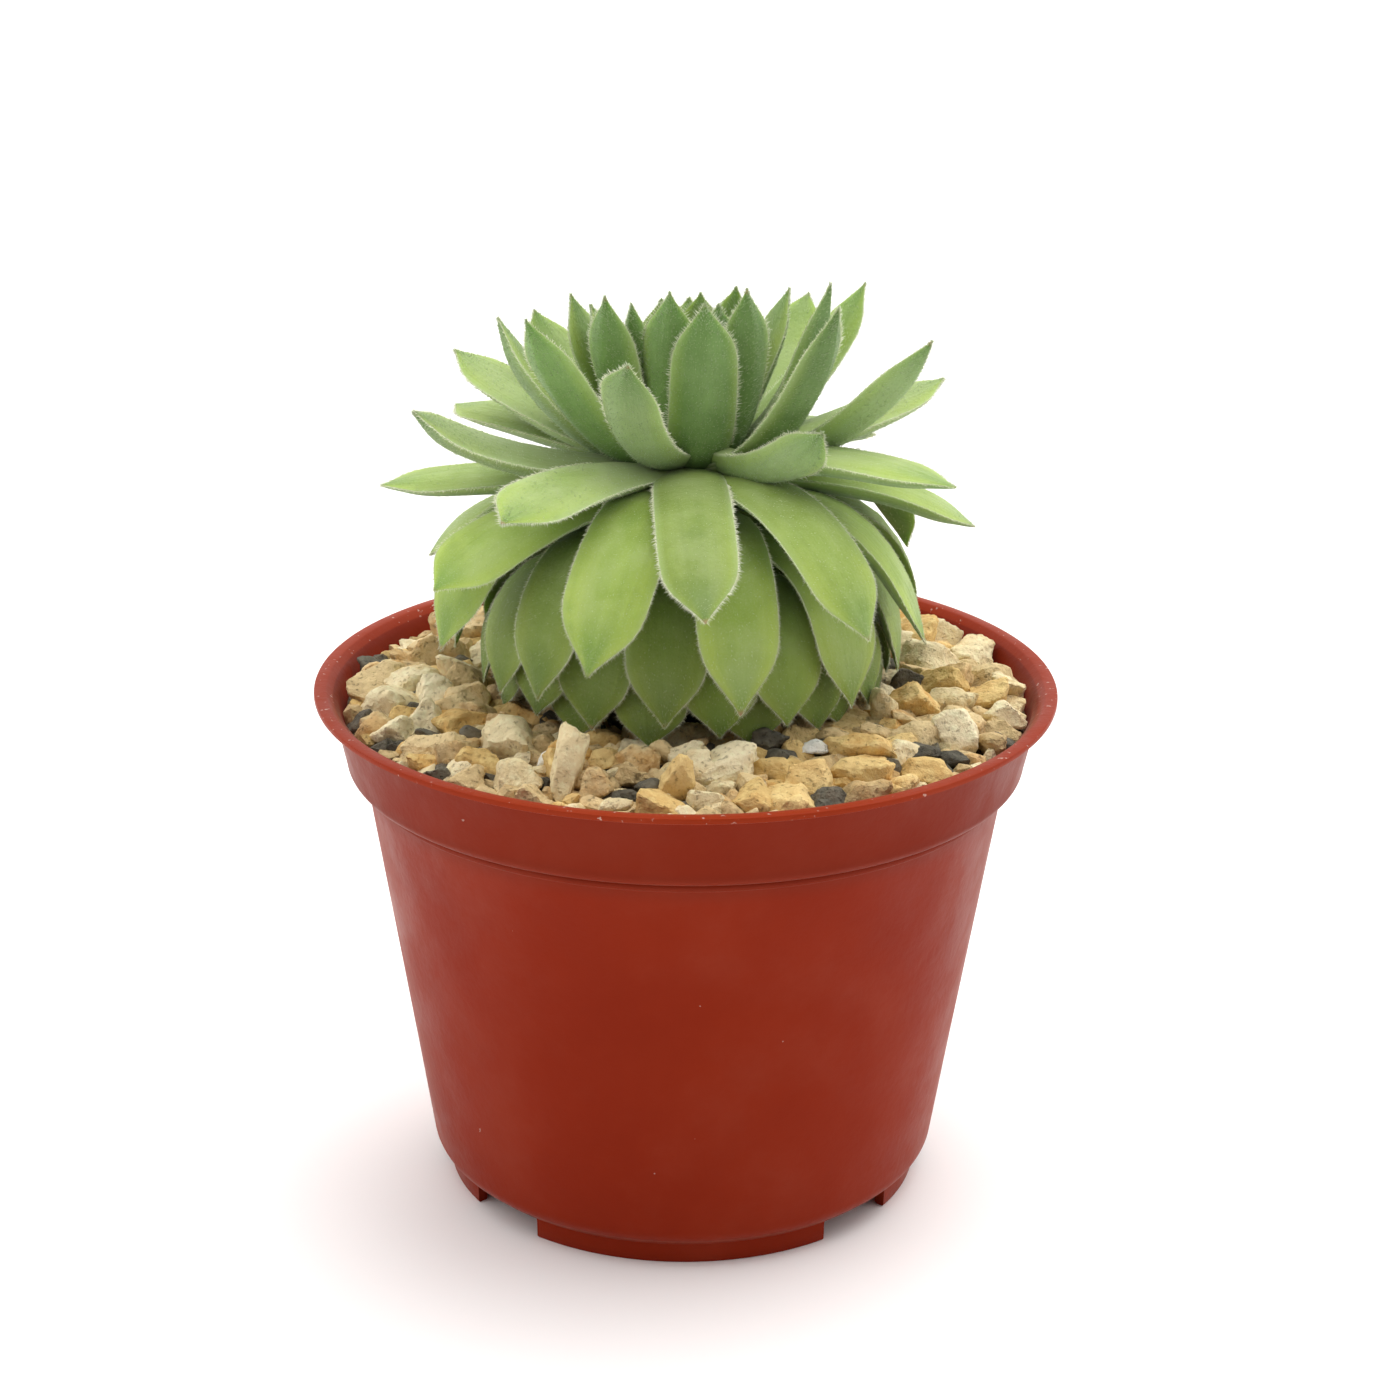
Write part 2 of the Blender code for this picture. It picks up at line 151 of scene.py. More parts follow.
def joinCopies(name, parts, attributes=None):
    # one mesh from many placed copies: parts holds (places, corners, sizes) for each
    counts = [len(places) for places, corners, sizes in parts]
    starts = np.concatenate([[0], np.cumsum(counts)[:-1]]).astype(np.int64)
    places = np.concatenate([part[0] for part in parts])
    corners = np.concatenate([part[1] + start for part, start in zip(parts, starts)])
    sizes = np.concatenate([part[2] for part in parts])
    mesh = bpy.data.meshes.new(name)
    mesh.vertices.add(len(places))
    mesh.vertices.foreach_set("co", places.astype(np.float32).ravel())
    mesh.loops.add(len(corners))
    mesh.loops.foreach_set("vertex_index", corners.astype(np.int32))
    mesh.polygons.add(len(sizes))
    faceStarts = np.concatenate([[0], np.cumsum(sizes)[:-1]])
    mesh.polygons.foreach_set("loop_start", faceStarts.astype(np.int32))
    mesh.update(calc_edges=True)
    mesh.validate()
    for key, values in (attributes or {}).items():
        layer = mesh.attributes.new(key, "FLOAT_VECTOR", "POINT")
        layer.data.foreach_set("vector", np.asarray(values, dtype=np.float32).ravel())
    piece = bpy.data.objects.new(name, mesh)
    bpy.context.scene.collection.objects.link(piece)
    return piece


# Materials

def addNode(tree, kind, **values):
    node = tree.nodes.new(kind)
    for key, value in values.items():
        if hasattr(node, key):
            setattr(node, key, value)
        else:
            node.inputs[key.replace("_", " ")].default_value = value
    return node


def newMaterial(name, **constants):
    material = bpy.data.materials.new(name)
    material.use_nodes = True
    tree = material.node_tree
    shader = tree.nodes["Principled BSDF"]
    for key, value in constants.items():
        shader.inputs[key.replace("_", " ")].default_value = value
    return material, tree, shader


def mottleGroup():
    # even noise between two limits, for colour patches, grain and dust
    group = bpy.data.node_groups.new("mottle", "ShaderNodeTree")
    for label, kind in (("Vector", "NodeSocketVector"), ("Scale", "NodeSocketFloat"),
                        ("Detail", "NodeSocketFloat"), ("Low", "NodeSocketFloat"),
                        ("High", "NodeSocketFloat")):
        group.interface.new_socket(name=label, in_out="INPUT", socket_type=kind)
    group.interface.new_socket(name="Mask", in_out="OUTPUT", socket_type="NodeSocketFloat")
    inside = group.nodes.new("NodeGroupInput")
    outside = group.nodes.new("NodeGroupOutput")
    cloud = addNode(group, "ShaderNodeTexNoise", Roughness=0.6)
    limits = addNode(group, "ShaderNodeMapRange", interpolation_type="SMOOTHSTEP")
    group.links.new(inside.outputs["Vector"], cloud.inputs["Vector"])
    group.links.new(inside.outputs["Scale"], cloud.inputs["Scale"])
    group.links.new(inside.outputs["Detail"], cloud.inputs["Detail"])
    group.links.new(cloud.outputs["Fac"], limits.inputs["Value"])
    group.links.new(inside.outputs["Low"], limits.inputs["From Min"])
    group.links.new(inside.outputs["High"], limits.inputs["From Max"])
    group.links.new(limits.outputs["Result"], outside.inputs["Mask"])
    return group


mottleNodes = mottleGroup()


def mottle(tree, vector, scale, low=0.4, high=0.6, detail=4):
    node = tree.nodes.new("ShaderNodeGroup")
    node.node_tree = mottleNodes
    tree.links.new(vector, node.inputs["Vector"])
    node.inputs["Scale"].default_value = scale
    node.inputs["Detail"].default_value = detail
    node.inputs["Low"].default_value = low
    node.inputs["High"].default_value = high
    return node.outputs["Mask"]


def mixColours(tree, mask, first, second, blend="MIX"):
    node = tree.nodes.new("ShaderNodeMix")
    node.data_type = "RGBA"
    node.blend_type = blend
    for value, socket in ((mask, node.inputs[0]), (first, node.inputs[6]), (second, node.inputs[7])):
        if isinstance(value, bpy.types.NodeSocket):
            tree.links.new(value, socket)
        elif isinstance(value, (int, float)):
            socket.default_value = value
        else:
            socket.default_value = (*value, 1)
    return node.outputs[2]


def combine(tree, operation, *values):
    node = addNode(tree, "ShaderNodeMath", operation=operation)
    for value, socket in zip(values, node.inputs):
        if isinstance(value, bpy.types.NodeSocket):
            tree.links.new(value, socket)
        else:
            socket.default_value = value
    return node.outputs[0]


def times(tree, first, second):
    return combine(tree, "MULTIPLY", first, second)


def coat(tree, base, mask, amount, colour):
    # a colour laid thinly over another one where the mask is
    return mixColours(tree, times(tree, mask, amount), base, colour)


def axes(tree, vector):
    # the three parts of a vector
    node = tree.nodes.new("ShaderNodeSeparateXYZ")
    tree.links.new(vector, node.inputs[0])
    return node.outputs


def ownValues(tree, name):
    # the three values that a mesh attribute holds
    return axes(tree, addNode(tree, "ShaderNodeAttribute", attribute_name=name).outputs["Vector"])


def remap(tree, value, low, high, toLow=0.0, toHigh=1.0):
    node = addNode(tree, "ShaderNodeMapRange", interpolation_type="SMOOTHSTEP")
    tree.links.new(value, node.inputs["Value"])
    for key, number in (("From Min", low), ("From Max", high), ("To Min", toLow), ("To Max", toHigh)):
        node.inputs[key].default_value = number
    return node.outputs["Result"]


def objectCoordinates(tree):
    return tree.nodes.new("ShaderNodeTexCoord").outputs["Object"]


def addBump(tree, shader, height, strength, distance):
    bump = addNode(tree, "ShaderNodeBump", Strength=strength, Distance=distance)
    tree.links.new(height, bump.inputs["Height"])
    tree.links.new(bump.outputs["Normal"], shader.inputs["Normal"])


# Camera, floor and light

roomSettings = {
    "bright": 1.48,        # white walls at the sides, behind and above
    "dim": 0.13,           # the open side of the room, in front
    "edges": (0.15, 0.80), # how far towards the front the walls begin to dim, and where they are dimmest
}


def buildRoom():
    world = bpy.data.worlds.new("whiteRoom")
    bpy.context.scene.world = world
    world.use_nodes = True
    tree = world.node_tree
    glow = tree.nodes["Background"]
    glow.inputs["Color"].default_value = (1.0, 0.995, 0.99, 1)
    way = axes(tree, tree.nodes.new("ShaderNodeTexCoord").outputs["Generated"])
    front = times(tree, way["Y"], -1)
    near, far = roomSettings["edges"]
    strength = remap(tree, front, near, far, roomSettings["bright"], roomSettings["dim"])
    seen = tree.nodes.new("ShaderNodeLightPath").outputs["Is Camera Ray"]
    tree.links.new(combine(tree, "MAXIMUM", strength, seen), glow.inputs["Strength"])


def buildStage():
    settings = cameraSettings
    pitch = math.radians(settings["pitch"])
    roll = math.radians(settings["roll"])
    back = Vector((0, -math.cos(pitch), math.sin(pitch)))
    level = Vector((1, 0, 0))
    upright = level.cross(-back)
    right = level * math.cos(roll) + upright * math.sin(roll)
    top = upright * math.cos(roll) - level * math.sin(roll)
    data = bpy.data.cameras.new("photoCamera")
    data.sensor_width = settings["sensor"]
    data.lens = settings["focalPixels"] / settings["photoPixels"] * settings["sensor"]
    data.clip_start = 0.01
    data.clip_end = 60
    camera = bpy.data.objects.new("photoCamera", data)
    bpy.context.scene.collection.objects.link(camera)
    place = Vector(settings["aim"]) + back * settings["distance"]
    turn = Matrix((right, top, back)).transposed().to_4x4()
    camera.matrix_world = Matrix.Translation(place) @ turn
    bpy.context.scene.camera = camera

    lightSettings = {
        # name: where it shines from, spread in degrees, power, colour
        "softTop": ((0.30, 0.30, 1.0), 60, 1.45, (1.0, 0.99, 0.97)),
        "softFront": ((-0.60, -0.60, 0.80), 60, 0.36, (1.0, 0.98, 0.95)),
    }
    for name, (way, spread, power, colour) in lightSettings.items():
        lamp = bpy.data.lights.new(name, "SUN")
        lamp.angle = math.radians(spread)
        lamp.energy = power
        lamp.color = colour
        item = bpy.data.objects.new(name, lamp)
        item.location = way
        item.rotation_euler = (-Vector(way)).to_track_quat("-Z", "Y").to_euler()
        bpy.context.scene.collection.objects.link(item)
    buildRoom()

    deselectAll()
    bpy.ops.mesh.primitive_grid_add(x_subdivisions=8, y_subdivisions=8, size=14, location=(0, 0, 0))
    floor = bpy.context.object
    floor.name = "paleFloor"
    material, tree, shader = newMaterial("paleFloor", Roughness=0.7)
    spot = objectCoordinates(tree)
    tint = mixColours(tree, mottle(tree, spot, 3.0, 0.3, 0.7), (0.955, 0.945, 0.938),
                      (0.965, 0.955, 0.948))
    tree.links.new(tint, shader.inputs["Base Color"])
    floor.data.materials.append(material)

    view = bpy.context.scene.view_settings
    view.view_transform = "Standard"
    view.look = "None"
    print("stage: camera, two soft lights, floor")


# Pot

potSettings = {
    "segments": 192,
    "wall": 1.1 * mm,
    "lipThickness": 0.9 * mm,
    "lipWidth": 1.7 * mm,
    "lipHeight": 77.0 * mm,       # the lip's underside
    "collarTop": 52.8 * mm,       # radius under the lip
    "collarTaper": 0.2177,
    "collarDepth": 10.5 * mm,
    "collarRounding": 1.6 * mm,
    "stepHeight": 65.6 * mm,
    "bodyTop": 47.9 * mm,
    "bodyTaper": 0.1556,
    "baseRounding": 3.4 * mm,
    "footRadius": 36.2 * mm,
    "footHeight": 3.5 * mm,
    "footWidth": 1.6 * mm,
    "floorThickness": 1.4 * mm,
    "notches": (47, 90, 133, -133, -90, -47),   # degrees from the front
    "notchArc": 22,
    "drainHoles": 8,
    "drainRing": 26.2 * mm,
    "drainRadius": 3.6 * mm,
}


def bodyRadius(height):
    return potSettings["bodyTop"] - potSettings["bodyTaper"] * (potSettings["stepHeight"] - height)


def collarRadius(height, potHeight):
    return potSettings["collarTop"] - potSettings["collarTaper"] * (potHeight - height)


def potProfile(rim, potHeight):
    s = potSettings
    foot = s["footHeight"]
    inner = s["footRadius"] - s["footWidth"]
    baseHeight = foot + s["baseRounding"]
    baseCentre = (bodyRadius(baseHeight) - s["baseRounding"], baseHeight)
    collarEnd = potHeight - s["collarDepth"]
    collarCentre = (collarRadius(collarEnd, potHeight) - s["collarRounding"], collarEnd)
    lip = potHeight - s["lipThickness"]
    step = s["stepHeight"]
    floor = foot + s["floorThickness"]
    edge = 0.25 * mm
    return [
        (inner - 0.3 * mm, foot),
        (inner - 0.1 * mm, edge), (inner + 0.15 * mm, 0),
        (s["footRadius"] - 0.25 * mm, 0), (s["footRadius"] - 0.05 * mm, edge),
        (s["footRadius"], foot - 0.4 * mm),
        *arcPoints(baseCentre, s["baseRounding"], -62, -9, 9),
        (bodyRadius(20 * mm), 20 * mm), (bodyRadius(40 * mm), 40 * mm),
        (bodyRadius(step - 1.6 * mm), step - 1.6 * mm),
        (bodyRadius(step), step - 1.25 * mm),
        (bodyRadius(step) + 0.32 * mm, step - 1.1 * mm),
        (bodyRadius(step) + 0.42 * mm, step - 0.85 * mm),
        (bodyRadius(step) + 0.42 * mm, step - 0.45 * mm),
        (bodyRadius(step) + 0.30 * mm, step - 0.25 * mm),
        (bodyRadius(step) + 0.24 * mm, step + 0.05 * mm),
        *arcPoints(collarCentre, s["collarRounding"], -80, 0, 8),
        (collarRadius(lip - 0.5 * mm, potHeight), lip - 0.5 * mm),
        (collarRadius(lip, potHeight) + 0.25 * mm, lip - 0.1 * mm),
        (collarRadius(lip, potHeight) + 0.6 * mm, lip),
        (rim - 0.25 * mm, lip), (rim - 0.06 * mm, lip + 0.1 * mm),
        (rim, lip + 0.3 * mm), (rim, potHeight - 0.25 * mm),
        (rim - 0.08 * mm, potHeight - 0.07 * mm), (rim - 0.28 * mm, potHeight),
        (rim - s["lipWidth"], potHeight), (rim - s["lipWidth"] - 0.3 * mm, potHeight - 0.12 * mm),
        (collarRadius(lip, potHeight) - s["wall"], potHeight - 1.7 * mm),
        (collarRadius(collarEnd, potHeight) - s["wall"], collarEnd + 1.0 * mm),
        (bodyRadius(step) - s["wall"], step),
        (bodyRadius(floor + 2.8 * mm) - s["wall"], floor + 2.8 * mm),
        (bodyRadius(floor) - s["wall"] - 0.9 * mm, floor + 0.8 * mm),
        (bodyRadius(floor) - s["wall"] - 2.8 * mm, floor),
    ]


def plasticMaterial():
    # terracotta-coloured polypropylene: satin, with dust, scuffs and a chalky bloom
    material, tree, shader = newMaterial("terracottaPlastic", IOR=1.48, Specular_IOR_Level=0.05,
                                         Sheen_Weight=0.12, Sheen_Roughness=0.32)
    shader.inputs["Sheen Tint"].default_value = (1.0, 0.84, 0.72, 1)
    spot = objectCoordinates(tree)
    base = mixColours(tree, mottle(tree, spot, 26, 0.3, 0.7), (0.218, 0.0158, 0.0030),
                      (0.244, 0.0195, 0.0040))
    bloom = times(tree, mottle(tree, spot, 55, 0.45, 0.8, 6), 0.05)
    base = mixColours(tree, bloom, base, (0.46, 0.19, 0.13))
    height = axes(tree, spot)["Z"]
    step = potSettings["stepHeight"]
    # a dull brown painted shade in the groove at the step and over the band under the lip, a painted
    # highlight on the lip, and scuffs on the lip itself
    creaseShade = times(tree, remap(tree, height, step - 4 * mm, step - 1 * mm),
                   remap(tree, height, step + 3 * mm, step + 0.5 * mm))
    base = coat(tree, base, creaseShade, 0.30, (0.13, 0.022, 0.012))
    lipHeight = potSettings["lipHeight"]
    lip = remap(tree, height, lipHeight - 0.2 * mm, lipHeight + 0.1 * mm)
    # painted shade: the band under the lip faces down and is painted darker
    collarShade = times(tree, remap(tree, height, step, step + 2 * mm), remap(tree, lip, 1, 0, 0, 0.36))
    base = mixColours(tree, collarShade, base, (0.130, 0.014, 0.005))
    # a painted highlight: the lip is painted lighter
    base = coat(tree, base, lip, 0.20, (0.42, 0.065, 0.020))
    specks = times(tree, mottle(tree, spot, 900, 0.66, 0.72, 2), lip)
    few = mottle(tree, spot, 620, 0.775, 0.79, 2)
    specks = combine(tree, "MAXIMUM", times(tree, specks, 0.45), times(tree, few, 0.3))
    base = mixColours(tree, specks, base, (0.72, 0.60, 0.52))
    tree.links.new(base, shader.inputs["Base Color"])
    rough = remap(tree, mottle(tree, spot, 120, 0.3, 0.7), 0, 1, 0.38, 0.50)
    tree.links.new(rough, shader.inputs["Roughness"])
    addBump(tree, shader, mottle(tree, spot, 700, 0.2, 0.8, 3), 0.12, 0.0002)
    return material


def buildPot():
    s = potSettings
    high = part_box("pot")[1]
    pot = turnProfile("nurseryPot", potProfile(high.x, high.z), s["segments"])
    cutters = []
    width = 2 * s["footRadius"] * math.sin(math.radians(s["notchArc"] / 2))
    for angle in s["notches"]:
        turn = math.radians(angle)
        deselectAll()
        bpy.ops.mesh.primitive_cube_add(
            size=1, location=(s["footRadius"] * math.sin(turn), -s["footRadius"] * math.cos(turn), 0),
            rotation=(0, 0, turn), scale=(width, 12 * mm, 2 * (s["footHeight"] - 0.2 * mm)))
        cutters.append(bpy.context.object)
        settle(cutters[-1])
        editAll()
        bpy.ops.mesh.bevel(offset=0.5 * mm, segments=3)
        bpy.ops.object.mode_set(mode="OBJECT")
    for index in range(s["drainHoles"]):
        turn = 2 * math.pi * (index + 0.5) / s["drainHoles"]
        deselectAll()
        bpy.ops.mesh.primitive_cylinder_add(
            vertices=40, radius=s["drainRadius"], depth=6 * mm,
            location=(s["drainRing"] * math.sin(turn), -s["drainRing"] * math.cos(turn), s["footHeight"]))
        cutters.append(bpy.context.object)
        settle(cutters[-1])
    for cutter in cutters:
        cut = pot.modifiers.new("cut", "BOOLEAN")
        cut.operation = "DIFFERENCE"
        cut.object = cutter
    applyAll(pot)
    for cutter in cutters:
        bpy.data.objects.remove(cutter, do_unlink=True)
    smooth(pot, 40)
    finishPiece(pot, "nurseryPot", plasticMaterial(), ["pot"])
    print("pot:", len(pot.data.polygons), "faces")


# Rosette

leafSettings = {
    "count": 94,
    "goldenAngle": 137.508,
    "firstAzimuth": 103.0,
    "rootRadius": 3.0 * mm,
    "faceShare": 0.22,      # share of the thickness above the margin
    "keel": (0.45, 0.92, 0.8),   # where the keel begins and is whole, and how sharp it gets
    "around": 24,
    "seed": 11,
    # how far along the leaf, share of the width, share of the thickness
    "outline": ((0.0, 0.78, 1.0), (0.12, 0.86, 1.0), (0.24, 0.93, 1.0), (0.36, 0.97, 1.0),
                (0.48, 0.99, 0.99), (0.60, 1.0, 0.97), (0.70, 1.0, 0.94), (0.77, 0.99, 0.90),
                (0.81, 0.965, 0.85), (0.84, 0.92, 0.79), (0.87, 0.83, 0.70), (0.895, 0.71, 0.60),
                (0.92, 0.545, 0.48), (0.94, 0.40, 0.38), (0.957, 0.275, 0.30), (0.972, 0.165, 0.22),
                (0.985, 0.085, 0.14), (0.995, 0.035, 0.07)),
    # age: root height, shoulder radius and height, tip radius and height, width, thickness, in mm
    "stages": (
        (0, 116.0, 2.0, 123.0, 2.0, 130.0, 3.6, 2.2), (5, 115.0, 4.0, 121.0, 4.5, 132.5, 6.0, 2.8),
        (10, 114.0, 6.5, 118.0, 7.5, 134.5, 8.2, 3.1), (20, 112.5, 12.0, 114.0, 14.0, 136.0, 10.0, 3.6),
        (24, 112.0, 16.0, 113.0, 22.0, 134.5, 10.5, 3.7), (28, 111.5, 21.0, 113.0, 32.0, 131.5, 11.0, 3.8),
        (32, 111.0, 22.0, 114.0, 38.0, 126.0, 11.4, 3.9), (36, 110.5, 24.0, 115.0, 43.0, 117.0, 11.6, 3.9),
        (40, 110.5, 26.0, 117.0, 43.0, 102.5, 11.8, 3.9), (46, 109.0, 31.0, 118.5, 39.5, 94.0, 11.8, 3.8),
        (52, 105.0, 32.5, 116.0, 35.8, 86.0, 11.8, 3.7), (60, 99.0, 32.0, 110.0, 32.0, 82.0, 11.8, 3.5),
        (70, 94.0, 31.0, 102.0, 30.5, 79.8, 11.4, 3.2), (84, 88.0, 30.0, 94.0, 29.0, 77.4, 10.5, 3.0),
        (94, 84.0, 28.0, 89.5, 27.6, 77.3, 10.2, 2.8)),
    # leaves that lean or twist out of the spiral's order, in degrees and mm
    "quirks": {
        9: {"reach": 3, "lift": 1.7},
        11: {"lift": 1.5},
        12: {"reach": 6, "lift": -1.5},
        13: {"reach": 6.5, "lift": 0.5},
        14: {"turn": 5, "reach": -1, "lift": 3},
        15: {"reach": 1, "lift": -2.5},
        16: {"turn": -12, "reach": -1, "lift": 2.8, "twist": -12},
        17: {"turn": 12, "reach": 1.2, "lift": 1.3, "twist": 22},
        18: {"lift": -1},
        19: {"lift": 1.5, "reach": -1},
        20: {"turn": 12, "reach": 5, "lift": -2},
        21: {"reach": 4.2, "lift": 1.7, "twist": -25},
        22: {"turn": -20, "reach": 7.5, "lift": -0.5, "twist": 18},
        23: {"lift": -3.8},
        24: {"turn": 8, "reach": 4.5, "lift": 3.5},
        25: {"reach": 3, "lift": -2, "twist": 8},
        26: {"reach": 6, "lift": 0.5, "slim": 0.8},
        27: {"turn": -10, "reach": -5.5, "lift": -1.2, "rise": 2, "bend": 3, "draw": -1.5, "push": -2,
             "twist": -18, "slim": 0.92},
        28: {"turn": 14, "reach": 0, "lift": -3},
        29: {"reach": 1.7, "lift": 1.5, "twist": -24},
        30: {"turn": -4, "reach": 6.5, "lift": -6, "bend": -1, "draw": 6, "twist": -8},
        31: {"turn": -10, "lift": 2},
        32: {"turn": 18, "reach": -9.5, "lift": -4.5, "rise": 4.5, "bend": -3, "draw": -3,
             "twist": -55, "slim": 0.63},
        33: {"reach": -0.8},
        34: {"reach": -1, "lift": -0.5},
        35: {"turn": -8, "reach": -1, "lift": -8, "bend": 1, "twist": -12},
        37: {"turn": 2, "reach": 1, "lift": 1.2, "bend": 3, "draw": -9},
        38: {"reach": 1.4, "lift": -0.8, "bend": -5},
        40: {"turn": 1, "lift": -1.6, "push": -2, "slim": 0.93},
        41: {"turn": 10, "reach": 1, "lift": 12, "bend": -3},
        42: {"lift": 2.7, "bend": -5},
        43: {"turn": -4, "reach": 2, "lift": 1.2, "bend": -8, "twist": -20},
        45: {"turn": 2, "reach": 1.5, "push": -3},
        46: {"bend": -12, "twist": -10},
        48: {"turn": -3, "lift": -0.7, "push": 3.5, "slim": 1.07},
        50: {"twist": -12, "push": -3, "draw": -2, "bend": -1.5},
        51: {"turn": 8, "reach": 3, "lift": 1, "twist": -15},
        53: {"turn": -2.5, "lift": -0.8, "push": 1},
        58: {"turn": -2, "lift": -1},
        59: {"reach": 1.8},
        74: {"turn": 2, "lift": 0.6},
        77: {"lift": 1},
        82: {"turn": 3},
    },
    # leaves that are paler or deeper than the rest, from 0 to 1: partly their own tone, partly painted light
    # and shade for how each one lies in the light
    "tonesAndShade": {17: 0.56, 19: 0.56, 22: 1.0, 24: 0.13, 27: 0.43, 30: 0.18, 32: 0.74, 33: 0.54, 35: 0.70,
              37: 0.69, 38: 0.56, 40: 0.26, 43: 1.0, 45: 0.40, 48: 0.69, 53: 0.65, 56: 0.05, 61: 0.12,
              66: 1.0},
    "core": ((5.6, 52.3), (6.2, 76.8), (13.0, 77.6), (18.0, 82.0), (17.0, 92.0), (11.0, 105.0),
             (6.0, 115.0), (1.0, 116.5)),   # the stem that the leaves grow from, radius and height in mm
}

hairSettings = {
    "seed": 7,
    "edgeSpacing": 0.29 * mm,
    "edgeStart": 0.30,         # how far along the leaf the fringe begins
    "fineAge": 42,             # from this age on the fringe is finer, to this share
    "fineShare": 0.7,
    # the long fringe and the short one beside it: length, width and how far it leans off the margin
    "rows": {"leafCilia": (0.82 * mm, 0.130 * mm, 0.50), "leafFringe": (0.50 * mm, 0.125 * mm, 1.1)},
    # fine hairs on each leaf: first and last age, count, length and width
    "down": {"youngDown": (0, 36, 1300, 0.40 * mm, 0.070 * mm),
             "oldDown": (36, 94, 420, 0.30 * mm, 0.055 * mm)},
}


def stageValues(age):
    stages = leafSettings["stages"]
    for young, old in zip(stages, stages[1:]):
        if age <= old[0]:
            part = (age - young[0]) / (old[0] - young[0])
            return [mm * (a + (b - a) * part) for a, b in zip(young[1:], old[1:])]
    return [mm * value for value in stages[-1][1:]]


def leafCurve(age, rng):
    # the leaf's own line and width, as a rule of its age, with a little of its own character
    rootHeight, shoulderRadius, shoulderHeight, tipRadius, tipHeight, width, depth = stageValues(age)
    quirk = leafSettings["quirks"].get(age, {})
    azimuth = leafSettings["firstAzimuth"] - leafSettings["goldenAngle"] * age + quirk.get("turn", 0)
    azimuth = math.radians(azimuth)
    out = Vector((math.sin(azimuth), -math.cos(azimuth), 0))
    across = Vector((math.cos(azimuth), math.sin(azimuth), 0))
    root = out * leafSettings["rootRadius"] + up * (rootHeight + quirk.get("rise", 0) * mm)
    shoulder = out * shoulderRadius + up * shoulderHeight
    shoulder += (out * quirk.get("draw", 0) + up * quirk.get("bend", 0) + across * quirk.get("push", 0)) * mm
    tip = out * (tipRadius + quirk.get("reach", 0) * mm) + up * (tipHeight + quirk.get("lift", 0) * mm)
    return {
        "root": root, "shoulder": shoulder, "tip": tip, "across": across,
        "twist": math.radians(quirk.get("twist", 0) + rng.uniform(-3, 3)),
        "sway": rng.uniform(-0.5, 0.5) * mm,
        "half": 0.5 * width * quirk.get("slim", 1.0),
        "depth": depth,
    }


def leafFrame(curve, part):
    # centre and the directions along, to the side of and out of the leaf's face
    rest = 1 - part
    centre = curve["root"] * rest * rest + curve["shoulder"] * 2 * part * rest + curve["tip"] * part * part
    along = (curve["shoulder"] - curve["root"]) * rest + (curve["tip"] - curve["shoulder"]) * part
    along.normalize()
    across = curve["across"]
    side = (across - along * across.dot(along)).normalized()
    centre = centre + side * curve["sway"] * math.sin(math.pi * part)
    face = along.cross(side)
    turn = Matrix.Rotation(curve["twist"] * min(1, part * 1.3), 3, along)
    return centre, along, turn @ side, turn @ face


def outlineAt(part):
    outline = leafSettings["outline"]
    for near, far in zip(outline, outline[1:]):
        if part <= far[0]:
            share = (part - near[0]) / (far[0] - near[0])
            return near[1] + (far[1] - near[1]) * share, near[2] + (far[2] - near[2]) * share
    share = (1 - part) / (1 - outline[-1][0])
    return outline[-1][1] * share, outline[-1][2] * share


def lensLevel(level):
    # a circle's height turned into a lens with a thin rounded margin
    return math.copysign(0.82 * level * level + 0.18 * abs(level), level)


def keelLevels(places, across):
    # the lower face of the blank leaf rises to a ridge towards the tip
    start, whole, sharp = leafSettings["keel"]
    grow = np.clip((places[:, 1] - start) / (whole - start), 0, 1) * sharp
    lens = 0.82 * (1 - across ** 2) + 0.18 * np.sqrt(1 - across ** 2)
    tent = 1 - np.abs(across)
    ratio = np.where(lens > 1e-3, (lens * (1 - grow) + tent * grow) / np.maximum(lens, 1e-3), 1)
    return np.where(places[:, 2] < 0, places[:, 2] * ratio, places[:, 2])


def modelLeaf():
    # the blank leaf, straight along +Y: half width 1 and thickness 1, ringed at each station
    stations = leafSettings["outline"]
    deselectAll()
    bpy.ops.mesh.primitive_circle_add(vertices=leafSettings["around"], radius=1, fill_type="NGON",
                                      rotation=(math.pi / 2, 0, 0))
    leaf = bpy.context.object
    settle(leaf)
    share = leafSettings["faceShare"]
    for vertex in leaf.data.vertices:
        level = lensLevel(vertex.co.z)
        vertex.co.z = level * (share if level > 0 else 1 - share)
        vertex.co.x *= stations[0][1]
    editAll()
    for near, far in zip(stations, stations[1:]):
        move = {"value": (0, far[0] - near[0], 0)}
        bpy.ops.mesh.extrude_region_move(TRANSFORM_OT_translate=move)
        bpy.ops.transform.resize(value=(far[1] / near[1], 1, far[2] / near[2]),
                                 center_override=(0, far[0], 0))
    bpy.ops.mesh.extrude_region_move(TRANSFORM_OT_translate={"value": (0, 1 - stations[-1][0], 0)})
    bpy.ops.mesh.merge(type="CENTER")
    closeEdit()
    return leaf


